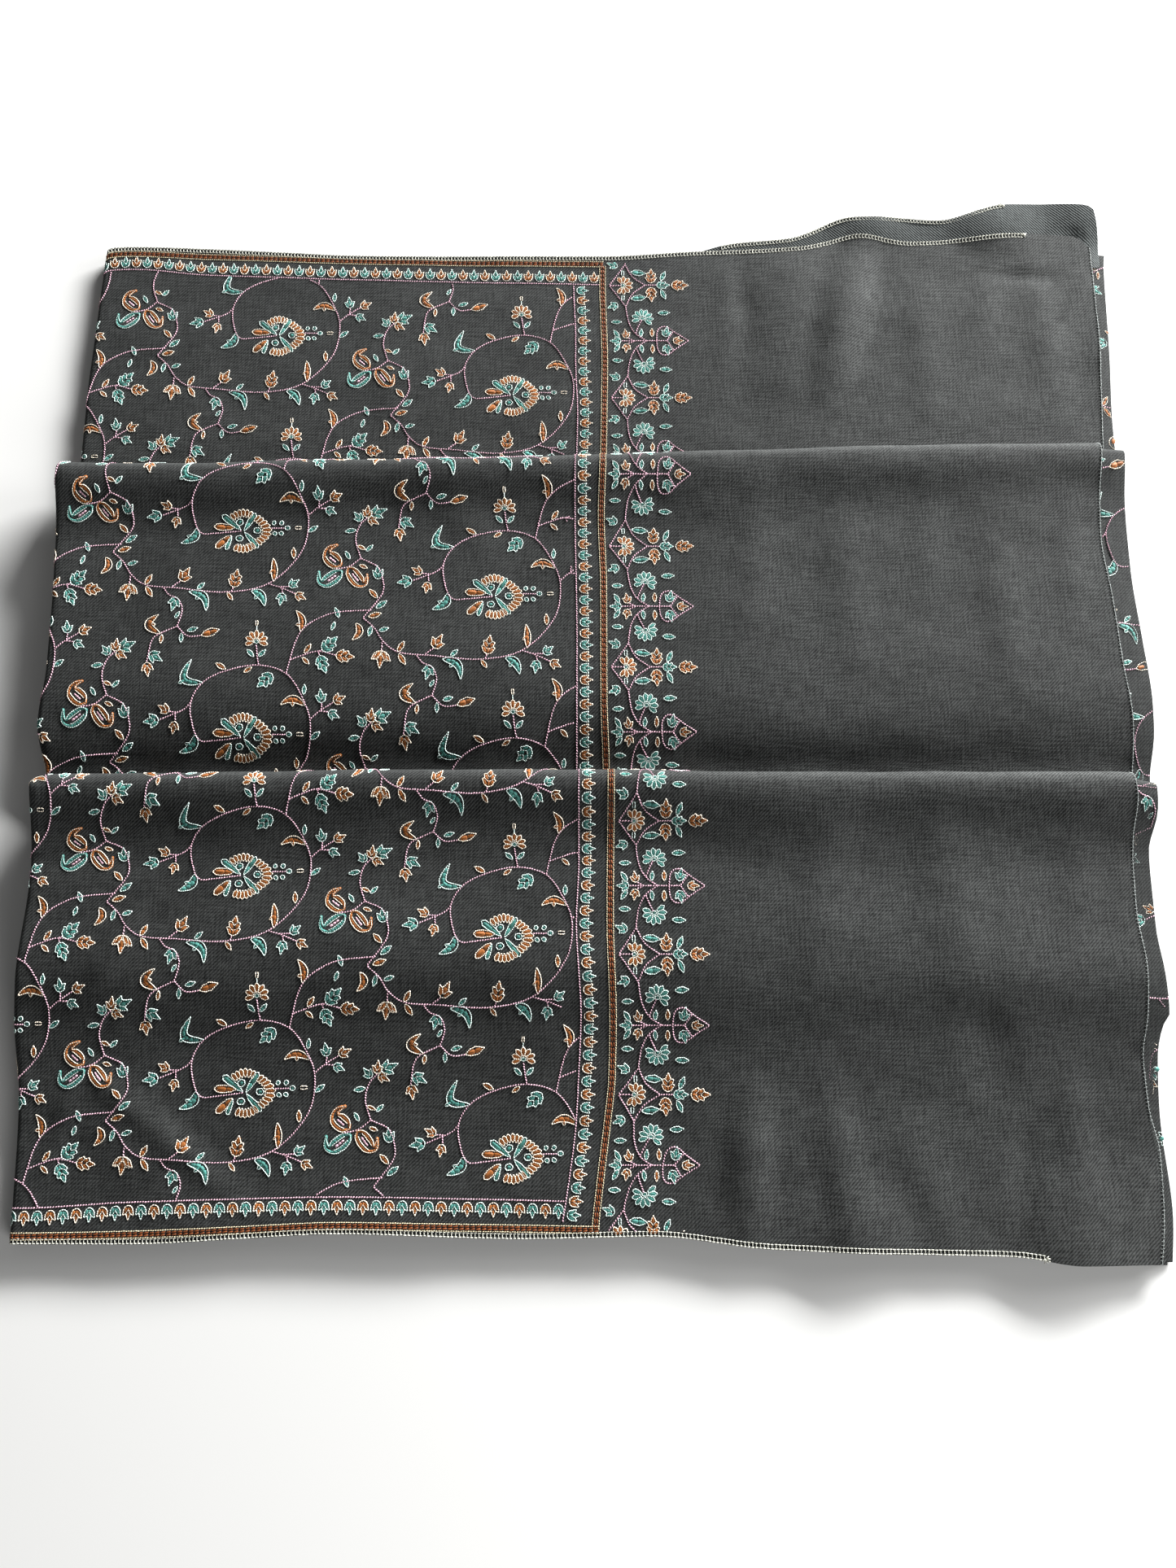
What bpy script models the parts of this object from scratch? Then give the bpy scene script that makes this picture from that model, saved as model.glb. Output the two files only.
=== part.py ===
"""A fine embroidered pashmina shawl, folded in four along its length and laid in three stepped tiers.

The shawl is one cloth of 2.0 m by 1.0 m. Its length is folded in quarters, which gives a stack of four layers half
a metre wide: the end that lies uppermost, the other end face down under it, and the two layers that meet in the
fold at the middle of the length, on the right. On the left the layers wrap round in a soft roll. The width is
then laid in two deep pleats, so that three tiers show, each with a rounded nose at its back that rests on the
tier behind. Lengths are in millimetres until a mesh is made. X runs along the folded width, Y to the back, Z up,
and the underside lies at Z = 0.
"""
import math

import bpy
import numpy as np

MM = 0.001

CLOTH = 1.0
GAP = 0.3
FOLD_STACK = 2.0
SECOND_UNDER = FOLD_STACK + GAP
SECOND_OVER = SECOND_UNDER + CLOTH
TOP_UNDER = SECOND_OVER + GAP
TOP_OVER = TOP_UNDER + CLOTH

TURN_INNER = 1.15
TURN_OUTER = TURN_INNER + TOP_OVER
TURN_STEPS = 5
RETURN_LENGTH = 8.0
TUCK = 11.0
PLEAT_SETBACK = TURN_OUTER + RETURN_LENGTH + 0.6

ROLL_STEPS = 5
ROLL_TIP = 1.5

LINE_FIRST = -220.0
LINE_STEP = 29.0
LINE_COUNT = 16

# Outlines from above. Lines across the shawl have the columns x, y.
TOP_HEM = (
    (-238, 223), (-93, 218), (1, 218), (52, 221), (98, 223), (127, 229), (152, 226), (184, 228), (212, 230),
    (233, 229), (241, 222),
)
SECOND_HEM = (
    (-238, 220), (-93, 215.5), (1, 215.5), (40, 219), (66, 226), (94, 229), (125, 240), (150, 240), (169, 239),
    (201, 247), (220, 248), (240, 246), (247, 240),
)
MIDDLE_NOSE = (
    (-250, 105), (-193, 104.5), (-145, 106), (-89, 106.5), (-12, 108.5), (37, 110.5), (81, 111.5), (141, 113.5),
    (233, 114.5), (250, 114.5),
)
FRONT_NOSE = ((-250, -46), (-236, -43), (-182, -42.5), (-84, -41), (0, -41), (76, -42), (226, -42), (240, -44))
BOTTOM_HEM = (
    (-242, -238), (-192, -238), (-150, -236), (-107, -234), (-32, -236), (21, -235), (71, -240), (133, -242),
    (171, -243), (196, -246), (230, -246),
)

# Lines down the shawl have the columns y, x.
BACK_LEFT = ((105, -244), (142, -244), (174, -243), (219, -241), (225, -239))
MIDDLE_LEFT = ((-60, -244), (-41, -245), (-19, -249), (6, -247), (105, -250))
FRONT_LEFT = ((-240, -242), (-180, -243.5), (-146, -247), (-132, -247), (-89, -245), (-55, -246), (-40, -248))
BACK_END = ((100, 237), (118, 238), (138, 239), (183, 241), (222, 241))
MIDDLE_END = ((-55, 235), (-21, 236.5), (7, 234), (39, 232), (67, 229.5), (86, 230), (115, 232))
FRONT_END = (
    (-248, 229), (-224, 232), (-203, 232.5), (-183, 229), (-162, 228), (-144, 230.5), (-125, 231), (-104, 229),
    (-71, 230), (-54, 232), (-40, 231),
)
SECOND_END = ((100, 236.5), (183, 239.5), (208, 240), (217, 246), (228, 246), (250, 243))
BACK_FOLD = ((100, 245), (121, 245), (164, 247), (212, 248.5), (222, 250))
MIDDLE_FOLD = ((-55, 244), (-39, 245), (-20, 247), (-9, 247), (20, 245), (52, 243), (81, 243), (115, 244))
FRONT_FOLD = (
    (-248, 232.5), (-238, 234.5), (-214, 237), (-178, 235), (-157, 235.5), (-144, 238), (-139, 241), (-123, 240),
    (-105, 238), (-73, 238), (-55, 242), (-40, 242),
)

# Heights of the underside of a stack, with the columns share of the way from its nose to its front line, height.
MIDDLE_HEIGHT = (
    (0.0, 11.8), (0.05, 11.8), (0.075, 11.4), (0.11, 10.2), (0.15, 8.9), (0.195, 8.0), (0.26, 7.4), (0.38, 7.3),
    (0.66, 7.5), (0.76, 7.2), (0.82, 6.5), (0.87, 5.4), (0.92, 3.8), (0.965, 2.2), (1.0, 1.6), (1.1, 1.6),
)
FRONT_HEIGHT = (
    (0.0, 13.4), (0.035, 13.4), (0.055, 12.9), (0.085, 11.3), (0.125, 9.4), (0.165, 8.2), (0.21, 7.6), (0.28, 7.7),
    (0.39, 8.2), (0.43, 8.0), (0.47, 7.1), (0.51, 5.7), (0.55, 4.3), (0.60, 3.0), (0.66, 1.8), (0.73, 0.8),
    (0.81, 0.2), (0.87, 0.0), (1.0, 0.0),
)
MIDDLE_TURN_HEIGHT = 10.65
FRONT_TURN_HEIGHT = 12.25
FRONT_PLEAT_END = 0.62

# Soft lifts of the two upper layers, with the columns x, y, half width along x, half width along y, rise.
LIFTS = (
    (133, 236, 26, 20, 2.2),
    (194, 238, 30, 24, 3.0),
    (108, -236, 30, 34, 2.4),
    (196, -238, 34, 40, 2.8),
    (-90, -234, 52, 26, 0.9),
)
SECOND_LIFT = 0.85
# Shallow rises and hollows of a whole tier, with the columns x, y, half width along x, half width along y, rise.
SWELLS = (
    (-150, 92, 60, 24, 0.6),
    (60, 88, 60, 26, 0.8),
    (190, 78, 44, 30, 0.9),
    (-20, 40, 80, 30, -0.5),
    (-120, -70, 70, 24, 0.7),
    (90, -66, 70, 26, 0.8),
    (200, -90, 40, 40, -0.7),
    (20, -120, 90, 30, -0.6),
)

# Rows across a tier, as shares of the way from its front line to its nose.
BACK_ROWS = (0.0, 0.18, 0.38, 0.58, 0.75, 0.89, 1.0)
MIDDLE_ROWS = (0.0, 0.069, 0.103, 0.146, 0.195, 0.243, 0.30, 0.398, 0.669, 0.785, 0.848, 0.891, 0.93, 0.964, 1.0)
FRONT_ROWS = (
    0.0, 0.07, 0.134, 0.196, 0.278, 0.35, 0.412, 0.463, 0.505, 0.546, 0.587, 0.628, 0.741, 0.814, 0.86, 0.901, 0.942,
    0.973, 1.0,
)
MIDDLE_PLEAT_ROWS = (0.0, 0.073, 0.109, 0.155, 0.206, 0.257, 0.318, 0.421, 0.707, 0.83, 0.896, 0.942, 1.0)
FRONT_PLEAT_ROWS = (0.0, 0.036, 0.128, 0.201, 0.274, 0.347, 0.42, 0.621, 0.749, 0.831, 0.904, 1.0)

# How a stack is layered at its edges. Columns: height, insets at the left, at the right and at the hem, and
# whether its right side is at the fold (0) or at the cloth's end (1).
HEM_LAYERS = (
    (0.0, 4.4, 0.8, 1.0, 0),
    (0.5, 4.2, 0.1, 0.6, 0),
    (1.15, 4.3, 0.0, 2.2, 0),
    (1.4, 2.4, 0.0, 0.6, 0),
    (2.0, 1.4, 0.6, 0.5, 0),
    (2.12, 1.5, 1.4, 2.4, 1),
    (2.3, 1.4, 0.5, 0.2, 1),
    (3.3, 2.4, 0.5, 0.4, 1),
)
HIDDEN_LAYERS = (
    (0.0, 4.4, 0.8, 0.0, 0),
    (1.2, 4.3, 0.0, 0.0, 0),
    (1.4, 2.4, 0.0, 0.0, 0),
    (2.0, 1.4, 0.6, 0.0, 0),
    (2.15, 1.5, 1.4, 0.0, 1),
    (3.3, 2.4, 0.5, 0.0, 1),
)
FOLD_LAYERS = (
    (0.0, 4.4, 0.8, 0.4, 0),
    (0.5, 4.2, 0.1, 0.0, 0),
    (1.0, 4.2, 0.0, 1.8, 0),
    (1.5, 4.2, 0.1, 0.2, 0),
    (2.0, 4.4, 0.8, 0.6, 0),
)
# A pleat holds two stacks. Columns: share of its height, insets at the left, the right and the ends.
PLEAT_LAYERS = (
    (0.0, 1.6, 2.2, 0.9),
    (0.22, 0.3, 0.9, 0.2),
    (0.44, 1.2, 1.8, 0.2),
    (0.50, 2.8, 3.6, 0.2),
    (0.56, 1.2, 2.2, 0.2),
    (0.78, 0.4, 1.2, 0.2),
    (1.0, 1.8, 2.6, 0.9),
)


def along(table, at):
    """The second column of a table, read at a value of its first."""
    columns = np.array(table, float).T
    return np.interp(at, columns[0], columns[1])


def bumps(table, x, y):
    """The sum of rounded bumps, each falling to nothing at its half widths."""
    total = np.zeros(np.broadcast(x, y).shape)
    for centre_x, centre_y, half_x, half_y, rise in table:
        reach = np.hypot((x - centre_x) / half_x, (y - centre_y) / half_y)
        total = total + rise * np.where(reach < 1, np.cos(np.minimum(reach, 1) * math.pi / 2) ** 2, 0)
    return total


def back_lift(x, y, height):
    """How far a layer at this height in its stack is lifted: only the two upper layers lift."""
    share = np.clip((height - FOLD_STACK) / (SECOND_UNDER - FOLD_STACK), 0, 1)
    return share * bumps(LIFTS, x, y)


class Tier:
    """One tier of the folded cloth, from the line where it starts at the front to its nose at the back."""

    def __init__(self, nose, front, drop, heights, turn_height, rows):
        self.nose = nose
        self.front = front
        self.drop = drop
        self.heights = heights
        self.turn_height = turn_height
        self.rows = rows

    def front_line(self, x):
        return along(self.front, x) - self.drop

    def underside(self, x, y):
        """Height of the underside of the tier's stack above the floor."""
        nose = along(self.nose, x)
        share = (nose - y) / (nose - along(self.front, x))
        height = along(self.heights, np.maximum(share, 0))
        swell = bumps(SWELLS, x, y) * np.clip(height / 4, 0, 1) * np.clip((nose - y - TURN_OUTER) / 12, 0, 1)
        return height + swell

    def run(self, x, share, height, inset=0.0):
        """A point on the run from the front line to the nose, at a height in the stack, square to the cloth."""
        start = self.front_line(x) + inset
        end = along(self.nose, x) - TURN_OUTER
        y = start + (end - start) * share
        slope = (self.underside(x, y + 0.5) - self.underside(x, y - 0.5)) * np.clip((1 - share) * 12, 0, 1)
        normal = np.sqrt(1 + slope**2)
        z = self.underside(x, y) + height / normal + back_lift(x, y, height)
        return y - height * slope / normal * (share > 0), z

    def turn(self, x, angle, height):
        """A point on the turn round the nose."""
        radius = TURN_INNER + height
        y = along(self.nose, x) - TURN_OUTER + radius * math.sin(angle)
        return y, self.turn_height + self.rise_at_turn(x) + radius * math.cos(angle)

    def back_run(self, x, length, height):
        """A point on the short run that goes back under the nose."""
        radius = TURN_INNER + height
        y = along(self.nose, x) - TURN_OUTER - length
        return y, self.turn_height + self.rise_at_turn(x) - radius

    def rise_at_turn(self, x):
        end = along(self.nose, x) - TURN_OUTER
        return self.underside(x, end) - TURN_INNER - self.turn_height

    def sweep(self, profile, hem_insets):
        """Carries a profile, arrays of x and height, along the run, round the nose and under it."""
        x, height = profile
        layers = []
        for share in self.rows:
            inset = hem_insets * (share == 0)
            layers.append(self.run(x, share, height, inset))
        for step in range(1, TURN_STEPS + 1):
            layers.append(self.turn(x, math.pi * step / TURN_STEPS, height))
        layers.append(self.back_run(x, RETURN_LENGTH, height))
        return np.array([(x, y + 0 * x, z + 0 * x) for y, z in layers])


MIDDLE = Tier(MIDDLE_NOSE, FRONT_NOSE, TUCK, MIDDLE_HEIGHT, MIDDLE_TURN_HEIGHT, MIDDLE_ROWS)
FRONT = Tier(FRONT_NOSE, BOTTOM_HEM, 0.0, FRONT_HEIGHT, FRONT_TURN_HEIGHT, FRONT_ROWS)


def edge_rows(tier, table):
    """An edge of a tier, read at each row of its sweep: the turn and the run under it keep the nose's value."""
    end = along(table, along(tier.nose, 0.0) - TURN_OUTER)
    rows = []
    for share in tier.rows:
        start = tier.front_line(0.0)
        rows.append(float(along(table, start + (along(tier.nose, 0.0) - TURN_OUTER - start) * share)))
    return rows + [float(end)] * (TURN_STEPS + 1)


def grid_lines(left, right):
    """Lines down the cloth: the fixed ones that every layer shares, between its own two edges."""
    inner = LINE_FIRST + LINE_STEP * np.arange(LINE_COUNT)
    inner = inner[inner < right - 6]
    return np.concatenate([[left], inner, [right]])


def rolled_profile(left, right):
    """The uppermost layer from the roll that it makes on the left to its end on the right.

    Three lines of points, at the cloth's inner side, middle and outer side, each as x and height.
    """
    centre = TOP_OVER / 2
    flat = grid_lines(left + centre, right)[::-1]
    angles = np.pi * np.arange(1, ROLL_STEPS + 1) / ROLL_STEPS
    lines = []
    for depth, inset in ((CLOTH, 0.35), (CLOTH / 2, 0.0), (0.0, 0.35)):
        radius = centre - depth
        ends = np.zeros(len(flat))
        ends[0] = inset
        x = np.concatenate([flat - ends, left + centre - radius * np.sin(angles), [left + centre + ROLL_TIP - inset]])
        height = np.concatenate([0 * flat + centre + radius, centre + radius * np.cos(angles), [centre - radius]])
        lines.append((x[::-1], height[::-1]))
    return lines


def top_lattice(tier, left_table, end_table):
    """The uppermost layer of a tier, with its roll at the left and its turn round the nose."""
    lefts = edge_rows(tier, left_table)
    rights = edge_rows(tier, end_table)
    count = len(lefts)
    rows = []
    for row in range(count):
        for_row = []
        for x, height in rolled_profile(lefts[row], rights[row]):
            for_row.append(tier.sweep((x, height), 0.0)[row].T)
        rows.append(for_row)
    return np.array(rows)


def stack_lattice(tier, layers, left_table, fold_table, end_table):
    """The hidden layers of a tier as one body, layered at its edges, turning round the nose with the cloth."""
    lefts = edge_rows(tier, left_table)
    folds = edge_rows(tier, fold_table)
    ends = edge_rows(tier, end_table)
    rows = []
    for row in range(len(lefts)):
        for_row = []
        for height, left, right, hem, at_end in layers:
            edge = ends[row] if at_end else folds[row]
            x = grid_lines(lefts[row] + left, edge - right)
            for_row.append(tier.sweep((x, 0 * x + height), hem)[row].T)
        rows.append(for_row)
    return np.array(rows)


def pleat_lattice(tier, left_table, fold_table, rows_end, shares):
    """The hidden pleat under a tier: one body from the floor up to the tier, layered at its edges."""
    rows = []
    for share in shares:
        for_row = []
        for level, left, right, ends in PLEAT_LAYERS:
            middle_start = rows_end(0.0)
            middle_stop = along(tier.nose, 0.0) - PLEAT_SETBACK
            at = middle_start + (middle_stop - middle_start) * share
            x = grid_lines(along(left_table, at) + left, along(fold_table, at) - right)
            start = rows_end(x) + ends
            stop = along(tier.nose, x) - PLEAT_SETBACK - ends
            y = start + (stop - start) * share
            z = level * (tier.underside(x, y) - GAP)
            for_row.append(np.array([x, y, z]).T)
        rows.append(for_row)
    return np.array(rows)


def flat_rows(near, far, rows):
    """Rows of a flat layer between two lines across the shawl."""
    return [lambda x, share=share: near(x) + (far(x) - near(x)) * share for share in rows]


def back_start(x):
    return along(MIDDLE_NOSE, x) - TUCK


def back_hem(x):
    return along(TOP_HEM, x)


def back_top_lattice():
    """The uppermost layer of the back tier, from under the middle tier's nose to the hem."""
    rows = []
    for row in flat_rows(back_start, back_hem, BACK_ROWS):
        at = float(row(0.0))
        for_row = []
        for x, height in rolled_profile(float(along(BACK_LEFT, at)), float(along(BACK_END, at))):
            y = row(x)
            for_row.append(np.array([x, y, height + back_lift(x, y, height)]).T)
        rows.append(for_row)
    return np.array(rows)


def back_second_lattice():
    """The cloth's other end, face down under the first, whose hem shows behind it."""
    rows = flat_rows(back_start, back_hem, BACK_ROWS[:-1])
    rows.append(lambda x: np.minimum(back_hem(x), along(SECOND_HEM, x) - 1.2))
    rows.append(lambda x: along(SECOND_HEM, x))
    lattice = []
    for row in rows:
        at = float(row(np.array([225.0]))[0])
        for_row = []
        for height, inset in ((SECOND_UNDER, 0.35), (SECOND_UNDER + CLOTH / 2, 0.0), (SECOND_OVER, 0.35)):
            x = grid_lines(float(along(BACK_LEFT, at)) + 2.6, float(along(SECOND_END, at)) - inset)
            y = row(x) - inset * (row is rows[-1])
            for_row.append(np.array([x, y, height + SECOND_LIFT * back_lift(x, y, height)]).T)
        lattice.append(for_row)
    return np.array(lattice)


def back_fold_lattice():
    """The two lowest layers of the back tier, one body that ends in the fold on the right."""
    rows = []
    for index, row in enumerate(flat_rows(back_start, lambda x: back_hem(x) - 0.8, BACK_ROWS)):
        at = float(row(np.array([225.0]))[0])
        for_row = []
        for height, left, right, hem, at_end in FOLD_LAYERS:
            x = grid_lines(float(along(BACK_LEFT, at)) + left, float(along(BACK_FOLD, at)) - right)
            y = row(x) - hem * (index == len(BACK_ROWS) - 1)
            for_row.append(np.array([x, y, 0 * x + height]).T)
        rows.append(for_row)
    return np.array(rows)


def make_material(name, colour, roughness):
    material = bpy.data.materials.new(name)
    material.use_nodes = True
    shader = material.node_tree.nodes["Principled BSDF"]
    shader.inputs["Base Color"].default_value = (*colour, 1.0)
    shader.inputs["Roughness"].default_value = roughness
    shader.inputs["Metallic"].default_value = 0.0
    material.diffuse_color = (*colour, 1.0)
    return material


def lattice_faces(shape):
    """The triangles on the outside of a block of points, by the points' numbers in the block.

    Every quad is split along the same diagonal, so that layers which lie on each other stay parallel.
    """
    numbers = np.arange(int(np.prod(shape))).reshape(shape)
    sides = []
    for axis in range(3):
        for end in (0, -1):
            side = np.take(numbers, end, axis=axis)
            quads = np.stack([side[:-1, :-1], side[1:, :-1], side[1:, 1:], side[:-1, 1:]], -1).reshape(-1, 4)
            if (end == 0) == (axis != 1):
                quads = quads[:, [0, 3, 2, 1]]
            sides += [quads[:, [0, 1, 2]], quads[:, [0, 2, 3]]]
    return np.concatenate(sides)


def make_body(name, lattice, material, collection):
    """One closed body from a block of points, given as rows, layers and points across, in millimetres."""
    faces = lattice_faces(lattice.shape[:3])
    points = lattice.reshape(-1, 3) * MM
    used, index = np.unique(faces, return_inverse=True)
    faces = index.reshape(-1, 3)
    points = points[used]
    if np.linalg.det(points[faces]).sum() < 0:
        faces = faces[:, ::-1]
    mesh = bpy.data.meshes.new(name)
    mesh.from_pydata(points.tolist(), [], faces.tolist())
    mesh.update()
    mesh.materials.append(material)
    body = bpy.data.objects.new(name, mesh)
    collection.objects.link(body)
    return body


def main():
    for old in list(bpy.data.objects):
        bpy.data.objects.remove(old)
    collection = bpy.data.collections.new("folded_shawl")
    bpy.context.scene.collection.children.link(collection)

    back_front = lambda x: along(FRONT_NOSE, x) - TUCK
    front_end = lambda x: along(FRONT_NOSE, x) + (along(BOTTOM_HEM, x) - along(FRONT_NOSE, x)) * FRONT_PLEAT_END

    middle_pleat = pleat_lattice(MIDDLE, MIDDLE_LEFT, MIDDLE_FOLD, back_front, MIDDLE_PLEAT_ROWS)
    front_pleat = pleat_lattice(FRONT, FRONT_LEFT, FRONT_FOLD, front_end, FRONT_PLEAT_ROWS)
    bodies = (
        ("back_top", (0.060, 0.063, 0.063), back_top_lattice()),
        ("back_second", (0.072, 0.078, 0.078), back_second_lattice()),
        ("back_fold", (0.055, 0.058, 0.058), back_fold_lattice()),
        ("middle_top", (0.055, 0.058, 0.057), top_lattice(MIDDLE, MIDDLE_LEFT, MIDDLE_END)),
        (
            "middle_fold",
            (0.052, 0.055, 0.055),
            stack_lattice(MIDDLE, HIDDEN_LAYERS, MIDDLE_LEFT, MIDDLE_FOLD, MIDDLE_END),
        ),
        ("middle_pleat", (0.045, 0.048, 0.048), middle_pleat),
        ("front_top", (0.058, 0.061, 0.060), top_lattice(FRONT, FRONT_LEFT, FRONT_END)),
        (
            "front_fold",
            (0.054, 0.057, 0.057),
            stack_lattice(FRONT, HEM_LAYERS, FRONT_LEFT, FRONT_FOLD, FRONT_END),
        ),
        ("front_pleat", (0.045, 0.048, 0.048), front_pleat),
    )
    for name, colour, lattice in bodies:
        make_body(name, lattice, make_material(name + "_cloth", colour, 0.9), collection)


main()
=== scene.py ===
"""Looks of an embroidered pashmina shawl, folded in four along its length and laid in three stepped tiers.

Every cloth layer is worked out in the cloth's own flat measures and then laid on the form of the part's
solids: x runs across the shawl and c up a tier as seen from above, and past the nose c is the length round
the turn. The stitches are drawn flat in the same measures, so they roll over the edges with the cloth.
Lengths in the tables and functions are millimetres, and meshes are in metres.
"""
import math
from functools import partial
from typing import NamedTuple

import bpy
import numpy as np
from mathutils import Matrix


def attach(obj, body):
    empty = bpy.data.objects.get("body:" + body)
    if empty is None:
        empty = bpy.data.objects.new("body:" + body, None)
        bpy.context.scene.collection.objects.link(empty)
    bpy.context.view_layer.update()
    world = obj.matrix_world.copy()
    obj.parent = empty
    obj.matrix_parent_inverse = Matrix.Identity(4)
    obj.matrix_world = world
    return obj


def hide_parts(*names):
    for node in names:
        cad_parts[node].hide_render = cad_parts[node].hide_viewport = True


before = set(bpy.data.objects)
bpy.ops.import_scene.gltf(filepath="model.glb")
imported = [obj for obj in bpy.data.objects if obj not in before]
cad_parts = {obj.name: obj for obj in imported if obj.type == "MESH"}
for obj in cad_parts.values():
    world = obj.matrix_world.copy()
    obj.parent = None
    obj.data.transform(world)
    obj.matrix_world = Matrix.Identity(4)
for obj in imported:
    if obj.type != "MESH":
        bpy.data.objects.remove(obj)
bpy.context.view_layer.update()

bl_info = {
    "name": "Folded embroidered shawl",
    "version": (1, 0, 0),
    "blender": (4, 5, 0),
    "location": "View3D > Sidebar > Shawl",
    "description": "Builds a folded twill shawl with stitched trellis, band and flower border",
    "category": "Add Mesh",
}

MM = 0.001

# Heights in a stack, as in the solids: over the turned-over layers, the second layer and the uppermost one,
# and how thick the shells are.
FOLDED_OVER = 2.0
SECOND_OVER = 3.3
TOP_OVER = 4.6
SHELL = 0.6
# The roll at the left edge: its radius, what lies flat past it, and how far past the outline stitches go.
ROLL = TOP_OVER / 2
ROLL_TIP = 1.5
ROLL_SHOWN = 3.4
# The turn round a nose: its radii, the length round its outer side, and what lies flat past it.
TURN_INNER = 1.15
TURN_OUTER = TURN_INNER + TOP_OVER
HALF_TURN = math.pi * TURN_OUTER
RETURN_LENGTH = 8.0
# How far a tier goes on under the nose of the next, and how far before its own nose its slope levels out.
TUCK = 11.0
NOSE_EASE = 14
# How far the hidden layers sink to their fold, over which way, and how far they stand in from the back hem.
FALL = 1.1
FALL_REACH = 11
HEM_INSET = 0.8
# Spacing of the rows up the layers that show and up the hidden ones, and their rows round a nose.
GRID = 2.5
STACK_GRID = 4
TURN_ROWS = 12
STACK_TURN_ROWS = 10
# How wide the folded cloth is, roughly, and the columns as shares of the way round the roll and across.
ACROSS = 480
ROLL_SPREAD = np.linspace(0, 1, 13)[:-1]
TOP_SPREAD = np.linspace(0, 1, int(ACROSS / GRID))
STACK_SPREAD = np.linspace(0, 1, 110)
PLEAT_SPREAD = np.linspace(0, 1, 90)
PLEAT_ROWS = np.linspace(0, 1, 30)
# Roughly where the cloth ends at the right, and where the turned-over layer shows past it.
END_X = 225.0
STRIP_X = 240.0

# Outlines from above. Lines across the shawl have the columns x, y.
TOP_HEM = (
    (-250, 214.5), (-244, 219.5), (-237, 222.6), (-228, 223), (-93, 218), (1, 218), (52, 221), (98, 223),
    (127, 229), (152, 226), (184, 228), (212, 230), (233, 229), (241, 222),
)
SECOND_HEM = (
    (-238, 220), (-93, 215.5), (1, 215.5), (40, 219), (66, 226), (94, 229), (125, 240), (150, 240),
    (169, 239), (201, 247), (220, 248), (240, 246), (247, 240),
)
MIDDLE_NOSE = (
    (-250, 105), (-193, 104.5), (-145, 106), (-89, 106.5), (-12, 108.5), (37, 110.5), (81, 111.5),
    (141, 113.5), (233, 114.5), (250, 114.5),
)
FRONT_NOSE = (
    (-250, -46), (-236, -43), (-182, -42.5), (-84, -41), (0, -41), (76, -42), (226, -42), (240, -44),
)
BOTTOM_HEM = (
    (-242, -238), (-192, -238), (-150, -236), (-107, -234), (-32, -236), (21, -235), (71, -240),
    (133, -242), (171, -243), (196, -246), (230, -246),
)

# Lines down the shawl have the columns y, x.
BACK_LEFT = ((105, -244), (142, -244), (174, -243), (219, -241), (225, -239))
MIDDLE_LEFT = ((-60, -244), (-41, -245), (-19, -249), (6, -247), (105, -250))
FRONT_LEFT = (
    (-240, -242), (-180, -243.5), (-146, -247), (-132, -247), (-89, -245), (-55, -246), (-40, -248),
)
BACK_END = ((100, 237), (118, 238), (138, 239), (183, 241), (222, 241))
MIDDLE_END = ((-55, 235), (-21, 236.5), (7, 234), (39, 232), (67, 229.5), (86, 230), (115, 232))
FRONT_END = (
    (-248, 229), (-224, 232), (-203, 232.5), (-183, 229), (-162, 228), (-144, 230.5), (-125, 231),
    (-104, 229), (-71, 230), (-54, 232), (-40, 231),
)
SECOND_END = ((100, 236.5), (183, 239.5), (208, 240), (217, 246), (228, 246), (250, 243))
BACK_FOLD = ((100, 245), (121, 245), (164, 247), (212, 248.5), (222, 250))
MIDDLE_FOLD = (
    (-55, 244), (-39, 245), (-20, 247), (-9, 247), (20, 245), (52, 243), (81, 243), (115, 244),
)
FRONT_FOLD = (
    (-248, 232.5), (-238, 234.5), (-214, 237), (-178, 235), (-157, 235.5), (-144, 238), (-139, 241),
    (-123, 240), (-105, 238), (-73, 238), (-55, 242), (-40, 242),
)

# Heights of the underside of a stack. Columns: share of the way from its nose to its front line, height.
MIDDLE_HEIGHT = (
    (0.0, 11.8), (0.05, 11.8), (0.075, 11.4), (0.11, 10.2), (0.15, 8.9), (0.195, 8.0), (0.26, 7.4),
    (0.38, 7.3), (0.66, 7.5), (0.76, 7.2), (0.82, 6.5), (0.87, 5.4), (0.92, 3.8), (0.965, 2.2), (1.0, 1.6),
    (1.1, 1.6),
)
FRONT_HEIGHT = (
    (0.0, 13.4), (0.035, 13.4), (0.055, 12.9), (0.085, 11.3), (0.125, 9.4), (0.165, 8.2), (0.21, 7.6),
    (0.28, 7.7), (0.39, 8.2), (0.43, 8.0), (0.47, 7.1), (0.51, 5.7), (0.55, 4.3), (0.60, 3.0), (0.66, 1.8),
    (0.73, 0.8), (0.81, 0.2), (0.87, 0.0), (1.0, 0.0),
)
# Layers of a stack. Columns: bottom, top, insets at the right, the left and the hem, and the line it ends on.
BACK_LAYERS = ((0.0, 0.95, 0.1, 4.3, 0.0, "fold"), (1.05, 2.0, 0.0, 4.3, 0.4, "fold"))
MIDDLE_LAYERS = (
    (0.0, 0.95, 0.1, 4.4, 0.0, "fold"),
    (1.05, 2.0, 0.0, 4.4, 0.0, "fold"),
    (2.2, 3.3, 0.5, 2.4, 0.0, "end"),
)
FRONT_LAYERS = (
    (0.0, 0.95, 0.1, 4.4, 0.8, "fold"),
    (1.05, 2.0, 0.0, 4.4, 0.5, "fold"),
    (2.2, 3.3, 0.5, 2.4, 0.2, "end"),
)
# The hidden pleats. Columns: each layer's insets at the right and at the left.
PLEAT_INSETS = ((2.2, 1.6), (1.4, 0.6), (2.6, 1.2), (1.8, 0.5))
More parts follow.
